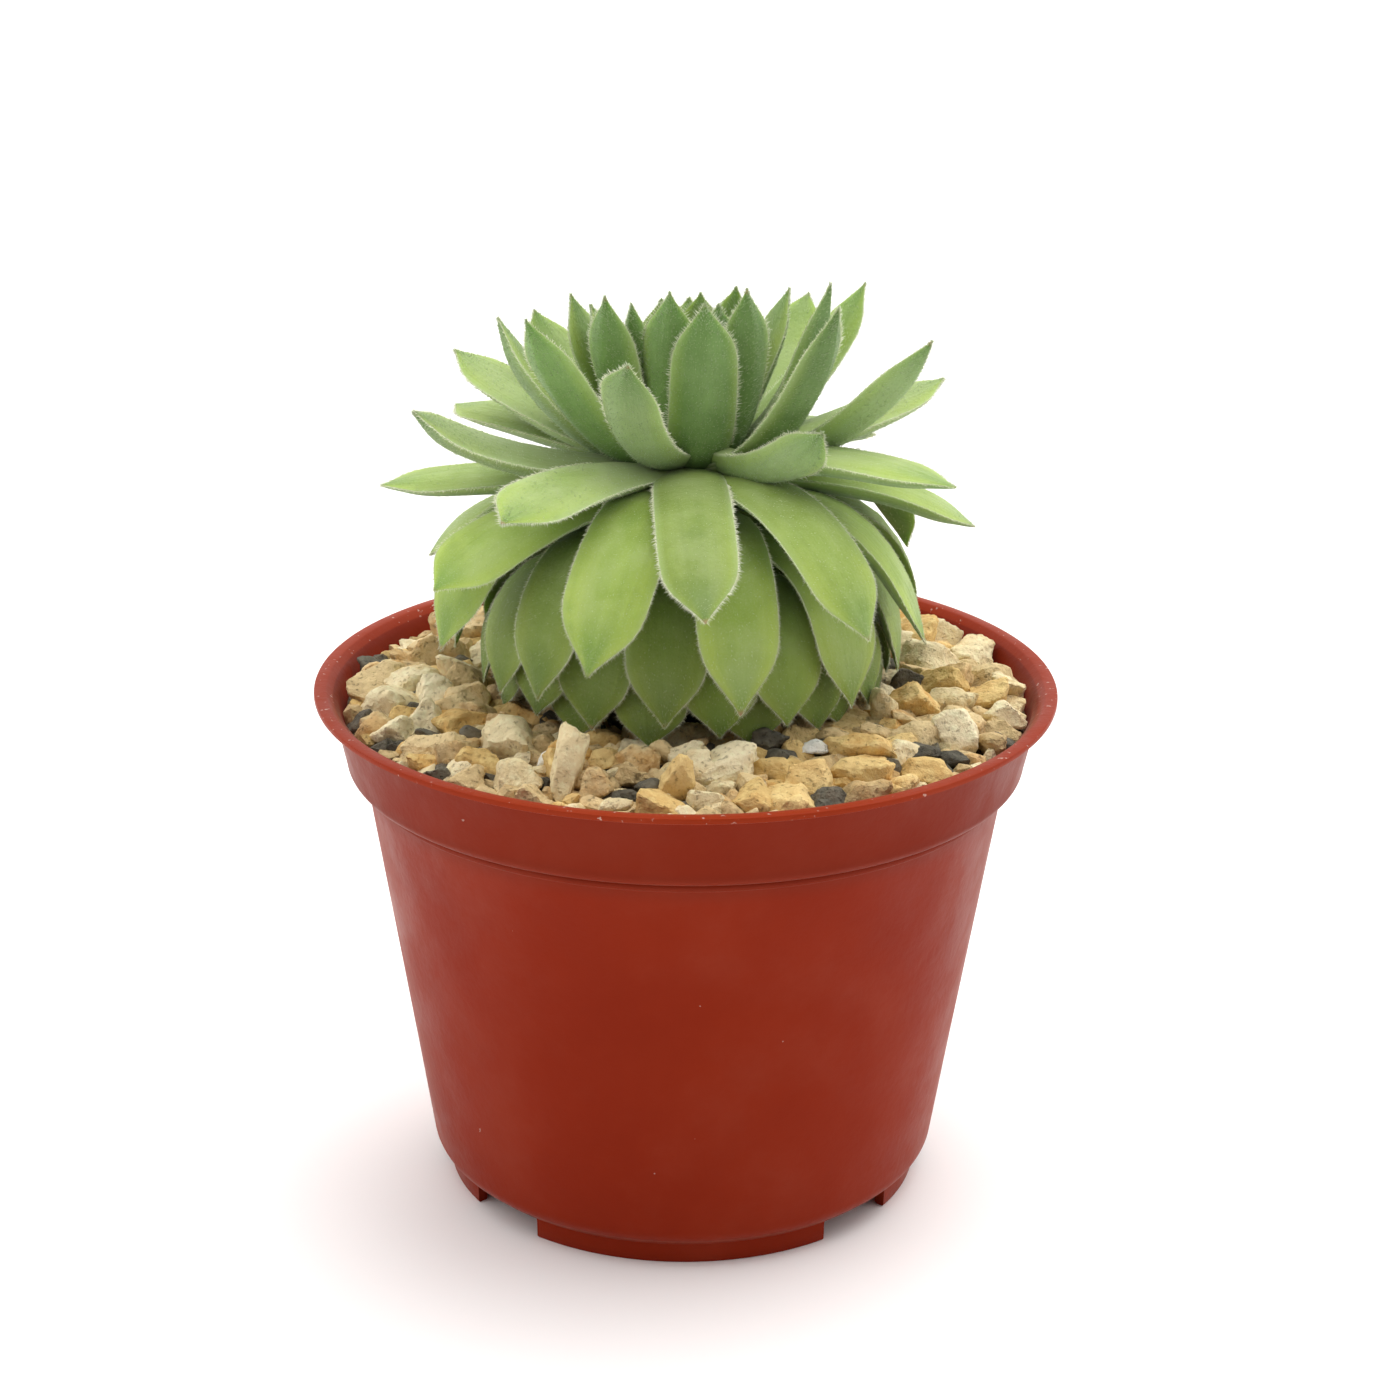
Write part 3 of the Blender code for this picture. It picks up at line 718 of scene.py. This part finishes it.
def leafMaterial():
    material, tree, shader = newMaterial(
        "velvetLeaf", Roughness=0.6, Sheen_Weight=0.20, Sheen_Roughness=0.42,
        Subsurface_Weight=0.16, Subsurface_Scale=0.0025, Specular_IOR_Level=0.22)
    shader.inputs["Sheen Tint"].default_value = (0.90, 1.0, 0.82, 1)
    shader.inputs["Subsurface Radius"].default_value = (0.6, 1.0, 0.25)
    spot = objectCoordinates(tree)
    across, along, level = ownValues(tree, "leafPlace")
    tone, age, pink = ownValues(tree, "leafKind")
    margin = combine(tree, "ABSOLUTE", across)

    # long soft streaks, which every leaf has in its own places
    lines = tree.nodes.new("ShaderNodeCombineXYZ")
    tree.links.new(times(tree, across, 2.2), lines.inputs["X"])
    tree.links.new(along, lines.inputs["Y"])
    tree.links.new(times(tree, tone, 37), lines.inputs["Z"])
    streak = mottle(tree, lines.outputs[0], 1.6, 0.32, 0.68, 4)

    # upper face: deep green at the middle of the tip, yellow-green towards the margins
    young = mixColours(tree, mottle(tree, spot, 140, 0.3, 0.7), (0.150, 0.245, 0.045), (0.190, 0.300, 0.065))
    old = mixColours(tree, mottle(tree, spot, 140, 0.3, 0.7), (0.248, 0.350, 0.062), (0.318, 0.428, 0.094))
    upper = mixColours(tree, remap(tree, age, 0.2, 0.45), young, old)
    base = remap(tree, along, 0.65, 0.40)
    upper = coat(tree, upper, base, 0.5, (0.165, 0.235, 0.034))
    yellow = times(tree, remap(tree, margin, 0.15, 0.95), remap(tree, along, 0.40, 0.80))
    yellow = times(tree, yellow, mottle(tree, spot, 90, 0.25, 0.60))
    upper = coat(tree, upper, yellow, 0.62, (0.415, 0.520, 0.095))
    tipGreen = times(tree, remap(tree, along, 0.80, 0.96), remap(tree, margin, 0.95, 0.2))
    upper = coat(tree, upper, tipGreen, 0.6, (0.150, 0.265, 0.060))

    upper = coat(tree, upper, streak, 0.16, (0.130, 0.215, 0.036))
    # the leaves that lie flat have a pale painted sheen on their upper faces, a painted reflection, which
    # thins out towards their tips
    flat = times(tree, remap(tree, age, 0.27, 0.31), remap(tree, age, 0.415, 0.385))
    paintedSheen = times(tree, flat, remap(tree, along, 0.98, 0.60))
    paintedSheen = times(tree, paintedSheen, mottle(tree, spot, 120, 0.15, 0.65))
    upper = coat(tree, upper, paintedSheen, 0.50, (0.430, 0.520, 0.270))

    # a thin dull frost in clouds over every leaf, and a few deeper green ones
    cloud = times(tree, mottle(tree, spot, 70, 0.42, 0.66), remap(tree, margin, 0.95, 0.4))
    upper = coat(tree, upper, cloud, 0.34, (0.365, 0.445, 0.205))
    deep = times(tree, mottle(tree, spot, 110, 0.56, 0.70), 0.35)
    upper = mixColours(tree, deep, upper, (0.165, 0.262, 0.050))

    # lower face: blue-green and frosted, with a yellow-green margin
    frost = mottle(tree, spot, 200, 0.3, 0.7)
    lower = mixColours(tree, frost, (0.142, 0.242, 0.070), (0.198, 0.315, 0.104))
    frosted = times(tree, remap(tree, age, 0.25, 0.28), remap(tree, age, 0.40, 0.37))
    lower = coat(tree, lower, frosted, 0.62, (0.340, 0.440, 0.200))
    lower = coat(tree, lower, streak, 0.13, (0.115, 0.200, 0.050))
    lower = coat(tree, lower, remap(tree, margin, 0.55, 1.0), 0.7, (0.290, 0.400, 0.085))
    lower = coat(tree, lower, remap(tree, along, 0.75, 1.0), 0.6, (0.125, 0.235, 0.055))
    colour = mixColours(tree, remap(tree, level, -0.05, 0.05), lower, upper)
    fuzz = times(tree, mottle(tree, spot, 4200, 0.50, 0.70, 2), 0.14)
    colour = mixColours(tree, fuzz, colour, (0.50, 0.58, 0.36))

    # lowest leaves are darker and duller: partly their age, partly painted shade for the shadow between them
    agedAndShaded = remap(tree, age, 0.50, 0.72)
    colour = coat(tree, colour, agedAndShaded, 0.50, (0.112, 0.176, 0.026))
    # the tone brightens or darkens each leaf: partly its own tone, partly painted light and shade
    brighten = remap(tree, tone, 0, 1, 0.78, 1.24)
    shade = tree.nodes.new("ShaderNodeHueSaturation")
    tree.links.new(brighten, shade.inputs["Value"])
    tree.links.new(colour, shade.inputs["Color"])
    colour = shade.outputs["Color"]
    # pale rim and the brown or pink point
    bright = remap(tree, age, 0.38, 0.50, 1.0, 0.45)
    velvet = times(tree, remap(tree, margin, 0.76, 1.0, 0, 0.34), bright)
    colour = mixColours(tree, velvet, colour, (0.46, 0.56, 0.30))
    rim = times(tree, remap(tree, margin, 0.94, 1.0, 0, 0.52), bright)
    colour = mixColours(tree, rim, colour, (0.66, 0.72, 0.50))
    point = times(tree, remap(tree, along, 0.978, 0.998), pink)
    colour = mixColours(tree, point, colour, (0.46, 0.27, 0.17))
    tree.links.new(colour, shader.inputs["Base Color"])
    fine = times(tree, mottle(tree, spot, 1500, 0.25, 0.75, 3), 0.5)
    height = combine(tree, "ADD", fine, times(tree, streak, 0.7))
    addBump(tree, shader, height, 0.22, 0.0005)
    return material


def hairMaterial(name, first, second):
    material, tree, shader = newMaterial(name, Roughness=0.5, Sheen_Weight=0.2)
    tint = mixColours(tree, mottle(tree, objectCoordinates(tree), 300, 0.3, 0.7), first, second)
    tree.links.new(tint, shader.inputs["Base Color"])
    return material


def buildRosette():
    s = leafSettings
    rng = random.Random(s["seed"])
    blank = modelLeaf()
    places, corners, sizes = meshArrays(blank)
    ringWidth = np.array([max(outlineAt(part)[0], 1e-4) for part in places[:, 1]])
    acrossShare = np.clip(places[:, 0] / ringWidth, -1, 1)
    places[:, 2] = keelLevels(places, acrossShare)
    curves = [leafCurve(age, rng) for age in range(s["count"])]
    parts = []
    leafPlace = []
    leafKind = []
    for age, curve in enumerate(curves):
        frames = {}
        placed = np.zeros_like(places)
        for index, (x, y, z) in enumerate(places):
            key = round(y, 5)
            if key not in frames:
                frames[key] = leafFrame(curve, key)
            centre, along, side, face = frames[key]
            placed[index] = centre + side * x * curve["half"] + face * z * curve["depth"]
        parts.append((placed, corners, sizes))
        leafPlace.append(np.stack([acrossShare, places[:, 1], places[:, 2]], axis=1))
        tone, pink = rng.random(), rng.choice((0.15, 0.3, 0.9))
        own = (s["tonesAndShade"].get(age, 0.25 + 0.5 * tone), age / s["count"], pink)
        leafKind.append(np.tile(own, (len(places), 1)))
    bpy.data.objects.remove(blank, do_unlink=True)
    core = turnProfile("core", [(r * mm, z * mm) for r, z in s["core"]], 32)
    corePlaces, coreCorners, coreSizes = meshArrays(core)
    parts.append((corePlaces, coreCorners, coreSizes))
    leafPlace.append(np.tile((0.0, 0.1, 0.5), (len(corePlaces), 1)))
    leafKind.append(np.tile((0.3, 1.0, 0.0), (len(corePlaces), 1)))
    bpy.data.objects.remove(core, do_unlink=True)
    rosette = joinCopies("rosetteLeaves", parts, {"leafPlace": np.concatenate(leafPlace),
                                                  "leafKind": np.concatenate(leafKind)})
    smooth(rosette, 75)
    finishPiece(rosette, "rosetteLeaves", leafMaterial(), ["rosette"])
    print("rosette:", s["count"], "leaves,", len(rosette.data.polygons), "faces")
    return curves


def modelHair():
    # one hair along +Z, a three-sided spike of length 1 and width 1
    deselectAll()
    bpy.ops.mesh.primitive_cone_add(vertices=3, radius1=0.5, radius2=0, depth=1, location=(0, 0, 0.5))
    hair = bpy.context.object
    settle(hair)
    return hair


def placeHairs(name, blank, spots, material):
    # spots holds (base, direction, length, width) for each hair
    places, corners, sizes = meshArrays(blank)
    base = np.array([spot[0] for spot in spots])
    ahead = np.array([spot[1] for spot in spots])
    ahead /= np.linalg.norm(ahead, axis=1, keepdims=True)
    length = np.array([spot[2] for spot in spots])[:, None, None]
    width = np.array([spot[3] for spot in spots])[:, None, None]
    helper = np.where(np.abs(ahead[:, 2:3]) < 0.9, (0, 0, 1), (1, 0, 0))
    first = np.cross(helper, ahead)
    first /= np.linalg.norm(first, axis=1, keepdims=True)
    second = np.cross(ahead, first)
    placed = (base[:, None, :] + places[None, :, 0:1] * first[:, None, :] * width
              + places[None, :, 1:2] * second[:, None, :] * width
              + places[None, :, 2:3] * ahead[:, None, :] * length)
    parts = [(one, corners, sizes) for one in placed]
    piece = joinCopies(name, parts)
    finishPiece(piece, name, material)
    print(name + ":", len(spots), "hairs")


def edgeHairs(curves, length, width, lean, seed):
    s = hairSettings
    rng = random.Random(seed)
    spots = []
    for age, curve in enumerate(curves):
        part = s["edgeStart"]
        size = 0.45 + 0.55 * min(1, curve["half"] / (5 * mm))
        fine = 1.0 if age < s["fineAge"] else s["fineShare"]
        reach = (curve["tip"] - curve["shoulder"]).length + (curve["shoulder"] - curve["root"]).length
        while part < 0.998:
            centre, along, side, face = leafFrame(curve, part)
            breadth = outlineAt(part)[0]
            for hand in (-1, 1):
                edge = centre + side * hand * curve["half"] * breadth * 0.985
                edge += face * rng.uniform(-0.12, 0.08) * mm
                slope = 0.35 + 0.9 * max(0, part - 0.78) / 0.22
                way = side * hand + along * (slope + rng.uniform(-0.35, 0.45))
                way += face * rng.uniform(-lean, lean)
                spots.append((edge, way, length * size * fine * rng.uniform(0.5, 1.25), width * fine))
            part += s["edgeSpacing"] / reach * rng.uniform(0.7, 1.3) * (1 if part < 0.8 else 0.75)
    return spots


def faceHairs(curves, first, last, count, length, width, seed):
    rng = random.Random(seed)
    share = leafSettings["faceShare"]
    start = hairSettings["edgeStart"]
    spots = []
    young = first == 0
    for curve in curves[first:last]:
        for index in range(count):
            part = 1 - (1 - start) * rng.random() ** 1.3
            across = rng.uniform(-0.97, 0.97)
            # a rising leaf turns its lower face to the light, a hanging one its upper face
            top = index % 4 == 0 if young else index % 3 < 2
            centre, along, side, face = leafFrame(curve, part)
            breadth, bulk = outlineAt(part)
            lens = lensLevel(math.sqrt(1 - across * across))
            if top:
                height = lens * share * bulk * curve["depth"]
                normal = face + side * across * 0.25
            else:
                point = np.array([[across * breadth, part, -lens]])
                height = keelLevels(point, np.array([across]))[0] * (1 - share) * bulk * curve["depth"]
                normal = -face + side * across * 0.8
            base = centre + side * across * curve["half"] * breadth + face * height
            lean = along * rng.uniform(0.5, 1.2) + side * rng.uniform(-0.4, 0.4)
            spots.append((base, normal.normalized() * 0.8 + lean, length * rng.uniform(0.6, 1.3), width))
    return spots


def buildHairs(curves):
    blank = modelHair()
    seed = hairSettings["seed"]
    fringe = hairMaterial("paleHair", (0.80, 0.83, 0.56), (0.90, 0.92, 0.72))
    down = hairMaterial("softDown", (0.50, 0.62, 0.32), (0.68, 0.77, 0.50))
    for index, (name, (length, width, lean)) in enumerate(hairSettings["rows"].items()):
        placeHairs(name, blank, edgeHairs(curves, length, width, lean, seed + 1 + index), fringe)
    for name, (first, last, count, length, width) in hairSettings["down"].items():
        spots = faceHairs(curves, first, last, count, length, width, seed + first)
        placeHairs(name, blank, spots, down)
    bpy.data.objects.remove(blank, do_unlink=True)


# Grit and soil

gritSettings = {
    "seed": 5,
    "crest": (31.5 * mm, 77.6 * mm),      # radius and height of the ridge round the plant
    "dish": (29.0 * mm, 76.5 * mm),
    "rimHeight": 74.2 * mm,
    "bottom": 66.3 * mm,
    "holeRadius": 6.5 * mm,
    "wallRadius": 51.0 * mm,
    "clearance": 0.3 * mm,
    "wallGap": 0.2 * mm,                  # between a stone and the inside of the pot's wall
    "blankStone": 0.75,                   # how wide a stone is before it is stretched
    "slabLean": (0.25, 0.24),             # back and to the right, in radians
    "innerRadius": 21 * mm,               # how far the stones reach under the leaves
    # how many shapes, cuts in each and the size of the faces that it is roughened with
    "blocks": (14, 13, 0.061),
    "pebbles": (10, 12, 0.094),
    "chips": (10, 5, 0),
    "slabs": (3, 9, 0.060),
    # stones laid at random: size, how close they lie, tries, shapes, how far they stand out
    "layers": ((8.2 * mm, 0.37, 5000, "blocks", 1.0), (5.0 * mm, 0.36, 6000, "pebbles", 0.4),
               (3.0 * mm, 0.34, 9000, "chips", 0.2)),
    # stones that show plainly: the middle in pixels of the photo, width and height there, kind
    "known": (
        (362, 656, 40, 25, "gold"), (355, 690, 60, 26, "tan"), (417, 684, 60, 32, "cream"),
        (391, 706, 54, 30, "cream"), (410, 662, 36, 22, "tan"), (468, 697, 42, 46, "tan"),
        (457, 723, 50, 20, "gold"), (477, 736, 22, 17, "dark"), (397, 735, 42, 34, "cream"),
        (433, 749, 46, 34, "tan"), (467, 781, 36, 17, "tan"), (440, 770, 18, 11, "dark"),
        (372, 671, 36, 13, "dark"), (377, 630, 18, 13, "dark"), (425, 713, 18, 12, "gold"),
        (509, 745, 62, 30, "cream"), (519, 784, 50, 42, "cream"), (546, 760, 19, 24, "white"),
        (566, 764, 31, 76, "cream"), (589, 732, 24, 24, "cream"), (603, 757, 38, 29, "gold"),
        (598, 788, 36, 36, "tan"), (613, 806, 26, 15, "cream"), (629, 776, 30, 19, "tan"),
        (645, 787, 22, 12, "dark"), (630, 797, 20, 15, "dark"), (659, 807, 54, 16, "gold"),
        (663, 753, 20, 24, "tan"), (678, 779, 32, 46, "gold"), (690, 752, 30, 22, "cream"),
        (733, 769, 54, 40, "cream"), (755, 800, 46, 29, "gold"), (724, 802, 20, 16, "tan"),
        (775, 769, 42, 34, "gold"), (808, 784, 58, 52, "gold"), (771, 744, 34, 15, "dark"),
        (817, 748, 25, 19, "white"), (835, 735, 24, 18, "tan"), (865, 776, 54, 33, "gold"),
        (873, 733, 26, 22, "tan"), (890, 790, 20, 12, "gold"), (927, 662, 72, 50, "cream"),
        (980, 656, 52, 27, "cream"), (951, 622, 44, 18, "cream"), (1014, 652, 22, 28, "cream"),
        (1030, 692, 32, 42, "cream"), (1005, 719, 40, 36, "cream"), (954, 703, 44, 48, "cream"),
        (959, 740, 46, 52, "cream"), (908, 684, 40, 18, "dark"), (880, 706, 22, 40, "cream"),
        (903, 720, 28, 16, "tan"), (896, 759, 38, 25, "cream"), (921, 752, 32, 17, "dark"),
        (927, 772, 60, 26, "gold"), (956, 760, 28, 23, "dark"), (994, 744, 32, 21, "tan")),
}

stoneColours = {
    # light, dark, stain
    "tan": ((0.76, 0.59, 0.320), (0.50, 0.360, 0.175), (0.60, 0.35, 0.13)),
    "gold": ((0.84, 0.62, 0.280), (0.62, 0.410, 0.150), (0.66, 0.36, 0.10)),
    "cream": ((0.90, 0.78, 0.520), (0.76, 0.620, 0.360), (0.74, 0.54, 0.25)),
    "dark": ((0.19, 0.175, 0.130), (0.080, 0.074, 0.058), (0.26, 0.21, 0.14)),
    "white": ((0.94, 0.92, 0.84), (0.84, 0.81, 0.70), (0.86, 0.80, 0.66)),
}


def bedHeight(radius):
    s = gritSettings
    crestRadius, crestHeight = s["crest"]
    dishRadius, dishHeight = s["dish"]
    if radius < dishRadius:
        return dishHeight
    if radius < crestRadius:
        return dishHeight + (crestHeight - dishHeight) * (radius - dishRadius) / (crestRadius - dishRadius)
    part = (radius - crestRadius) / (s["wallRadius"] - crestRadius)
    return crestHeight + (s["rimHeight"] - crestHeight) * part


def stoneMaterial(name, light, dark, stain):
    material, tree, shader = newMaterial(name, Roughness=0.88, Specular_IOR_Level=0.25)
    spot = objectCoordinates(tree)
    tone, warm = ownValues(tree, "stoneKind")[:2]
    base = mixColours(tree, tone, dark, light)
    base = coat(tree, base, mottle(tree, spot, 260, 0.40, 0.65), warm, stain)
    chalk = times(tree, mottle(tree, spot, 650, 0.45, 0.70, 5), 0.45)
    base = mixColours(tree, chalk, base, tuple(min(0.92, channel * 1.2) for channel in light))
    pits = mottle(tree, spot, 1300, 0.30, 0.44, 5)
    base = mixColours(tree, remap(tree, pits, 0, 1, 0.5, 0.0), base,
                      tuple(channel * 0.40 for channel in dark))
    tree.links.new(base, shader.inputs["Base Color"])
    coarse = mottle(tree, spot, 520, 0.2, 0.8, 6)
    grain = times(tree, mottle(tree, spot, 2400, 0.2, 0.8, 3), 0.3)
    height = combine(tree, "ADD", combine(tree, "ADD", coarse, grain), times(tree, pits, 0.5))
    addBump(tree, shader, height, 0.8, 0.0004)
    return material


boxWays = [Vector(way) for way in ((1, 0, 0), (-1, 0, 0), (0, 1, 0), (0, -1, 0), (0, 0, 1), (0, 0, -1))]


def modelStone(rng, cuts, grain, boxy=False):
    # a broken chip: a sphere cut by planes, then scalloped and roughened
    deselectAll()
    bpy.ops.mesh.primitive_ico_sphere_add(subdivisions=2 if grain else 1, radius=0.62)
    stone = bpy.context.object
    bpy.ops.object.mode_set(mode="EDIT")
    for cut in range(cuts):
        way = Vector((rng.gauss(0, 1), rng.gauss(0, 1), rng.gauss(0, 1))).normalized()
        if boxy and cut < len(boxWays):
            way = (boxWays[cut] + way * 0.22).normalized()
        bpy.ops.mesh.select_all(action="SELECT")
        bpy.ops.mesh.bisect(plane_co=way * rng.uniform(0.25, 0.43), plane_no=way, use_fill=True,
                            clear_outer=True)
    bpy.ops.mesh.select_all(action="SELECT")
    bpy.ops.mesh.remove_doubles(threshold=0.02)
    bpy.ops.mesh.normals_make_consistent(inside=False)
    bpy.ops.object.mode_set(mode="OBJECT")
    if grain:
        remesh = stone.modifiers.new("even", "REMESH")
        remesh.mode = "VOXEL"
        remesh.voxel_size = grain
        applyAll(stone)
        seed = Vector((rng.uniform(0, 50), rng.uniform(0, 50), rng.uniform(0, 50)))
        for vertex in stone.data.vertices:
            scallop = noise.voronoi(vertex.co * 3.2 + seed)[0][0] - 0.4
            lump = noise.fractal(vertex.co * 6 + seed, 0.8, 2.1, 4)
            vertex.co += vertex.normal * (scallop * 0.07 + lump * 0.024)
    arrays = meshArrays(stone)
    bpy.data.objects.remove(stone, do_unlink=True)
    return arrays


def groundPoint(x, y, height):
    # where the line of sight through a pixel of the photo meets a height, and its distance
    camera = bpy.context.scene.camera
    half = cameraSettings["photoPixels"] / 2
    focal = cameraSettings["focalPixels"]
    sight = camera.matrix_world.to_3x3() @ Vector(((x - half) / focal, (half - y) / focal, -1))
    eye = camera.matrix_world.translation
    reach = (height - eye.z) / sight.z
    return eye + sight * reach, reach


def knownStone(row, wall):
    # place and size of a stone that the photo shows, bedded in the grit under it
    x, y, wide, tall, kind = row
    squat = math.sin(math.radians(cameraSettings["pitch"]))
    height = gritSettings["crest"][1]
    for turn in range(4):      # the stone's height and place settle together
        place, distance = groundPoint(x, y, height)
        radius = math.hypot(place.x, place.y)
        length = wide * distance / cameraSettings["focalPixels"]
        depth = min(0.8 * length, 8 * mm)
        rise = tall * distance / cameraSettings["focalPixels"] - depth * squat
        rise = min(max(rise, 0.62 * length), 2.4 * length)
        sink = 0.3 if length > 5 * mm else 0.05      # small ones lie on top
        height = bedHeight(radius) + rise * (0.5 - sink)
    room = wall - 0.5 * max(length, depth)
    if radius > room:
        place *= room / radius
    return place.x, place.y, height, (length, depth, rise), kind


def buildBed(wall):
    s = gritSettings
    bottom = s["bottom"]
    rings = [(s["holeRadius"], bottom), (wall - 1.2 * mm, bottom), (wall - 0.8 * mm, bottom + 2 * mm)]
    steps = 14
    for step in range(steps + 1):
        radius = wall + (s["dish"][0] - wall) * step / steps
        rings.append((radius, bedHeight(radius) - 0.6 * mm))
    rings.append((s["holeRadius"], s["dish"][1]))
    bed = turnProfile("gritBed", rings, 120)
    for vertex in bed.data.vertices:
        if vertex.co.z > bottom + 4 * mm:
            vertex.co.z += noise.noise(vertex.co * 700) * 0.9 * mm
    smooth(bed, 60)
    layer = bed.data.attributes.new("stoneKind", "FLOAT_VECTOR", "POINT")
    layer.data.foreach_set("vector", np.tile((0.1, 0.4, 0.5), len(bed.data.vertices)))
    material = stoneMaterial("fineGrit", (0.30, 0.23, 0.13), (0.09, 0.065, 0.04), (0.07, 0.055, 0.04))
    finishPiece(bed, "gritBed", material, ["top_dressing"])


def buildGrit():
    s = gritSettings
    rng = random.Random(s["seed"])
    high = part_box("top_dressing")[1]
    wall = high.x - s["clearance"]
    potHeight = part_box("pot")[1].z
    buildBed(wall)
    sources = {}
    for name in ("blocks", "pebbles", "chips", "slabs"):
        count, cuts, grain = s[name]
        sources[name] = [modelStone(rng, cuts, grain, name == "slabs") for index in range(count)]
        print(name + ":", [len(shape[2]) for shape in sources[name]], "faces")

    taken = []
    stones = {kind: [] for kind in stoneColours}

    def lay(x, y, height, stretch, kind, source, tilt):
        places, corners, sizes = sources[source][rng.randrange(len(sources[source]))]
        own = Matrix.Rotation(rng.choice((0, math.pi)) + rng.uniform(-tilt, tilt), 4, "X")
        own = Matrix.Rotation(rng.uniform(-tilt, tilt), 4, "Y") @ own
        spun = Matrix.Rotation(rng.uniform(0, 2 * math.pi), 4, "Z")
        if source == "slabs":      # a slab stands on end
            back, right = s["slabLean"]
            own = Matrix.Rotation(-back, 4, "X") @ Matrix.Rotation(right, 4, "Y")
            spun = Matrix.Identity(4)
        # a stone is turned before it is stretched
        matrix = Matrix.Translation((x, y, height)) @ own @ Matrix.Diagonal((*stretch, 1)) @ spun
        matrix = np.array(matrix @ Matrix.Scale(1 / s["blankStone"], 4))
        placed = places @ matrix[:3, :3].T + matrix[:3, 3]
        # a stone that touches the pot's wall stops there
        room = collarRadius(placed[:, 2], potHeight) - potSettings["wall"] - s["wallGap"]
        placed[:, :2] *= np.minimum(1, room / np.maximum(np.hypot(placed[:, 0], placed[:, 1]), mm))[:, None]
        stones[kind].append(((placed, corners, sizes),
                             (rng.random(), rng.random() ** 2, rng.random())))
        taken.append((x, y, 0.5 * (stretch[0] + stretch[1])))

    for row in s["known"]:
        x, y, height, stretch, kind = knownStone(row, wall)
        source = "slabs" if row[3] > 2 * row[2] else "blocks" if stretch[0] > 4 * mm else "pebbles"
        lay(x, y, height, stretch, kind, source, 0.28)
    print("known stones:", len(taken))
    for size, gap, tries, source, lift in s["layers"]:
        for attempt in range(tries):
            length = size * rng.uniform(0.7, 1.2)
            radius = math.sqrt(rng.uniform(s["innerRadius"] ** 2, (wall - length * 0.45) ** 2))
            angle = rng.uniform(0, 2 * math.pi)
            x, y = radius * math.sin(angle), -radius * math.cos(angle)
            if any((x - a) ** 2 + (y - b) ** 2 < (gap * (length + other)) ** 2 for a, b, other in taken):
                continue
            rise = length * rng.uniform(0.6, 0.95)
            height = bedHeight(radius) + rng.uniform(-0.2, 0.6) * mm * lift
            if radius < s["crest"][0] + 2 * mm:
                height = min(height, s["crest"][1] + 0.5 * mm - rise * 0.5)
            roll = rng.random()
            if source == "blocks":
                kind = "dark" if roll < 0.02 else "gold" if roll < 0.32 else "cream" if roll < 0.62 else "tan"
            else:
                kind = "dark" if roll < 0.17 else "gold" if roll < 0.40 else "cream" if roll < 0.60 else "tan"
            lay(x, y, height, (length, length * rng.uniform(0.65, 0.95), rise), kind, source, 0.6)
    for kind, ownStones in stones.items():
        kinds = [np.tile(own, (len(part[0]), 1)) for part, own in ownStones]
        name = kind + "Grit"
        piece = joinCopies(name, [part for part, own in ownStones], {"stoneKind": np.concatenate(kinds)})
        smooth(piece, 24)
        finishPiece(piece, name, stoneMaterial(kind + "Stone", *stoneColours[kind]))
        print(name + ":", len(ownStones), "stones,", len(piece.data.polygons), "faces")


def buildSoil():
    material, tree, shader = newMaterial("pottingMix", Roughness=0.95, Specular_IOR_Level=0.2)
    spot = objectCoordinates(tree)
    fibre = mixColours(tree, mottle(tree, spot, 600, 0.35, 0.65, 5), (0.020, 0.013, 0.009),
                       (0.060, 0.038, 0.024))
    fibre = mixColours(tree, mottle(tree, spot, 450, 0.66, 0.70, 2), fibre, (0.55, 0.52, 0.46))
    tree.links.new(fibre, shader.inputs["Base Color"])
    addBump(tree, shader, mottle(tree, spot, 500, 0.2, 0.8, 6), 0.9, 0.0008)
    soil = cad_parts["potting_mix"]
    soil.data.materials.clear()
    soil.data.materials.append(material)
    for polygon in soil.data.polygons:
        polygon.material_index = 0
    print("soil: material set")


buildStage()
buildPot()
curves = buildRosette()
buildHairs(curves)
buildGrit()
buildSoil()
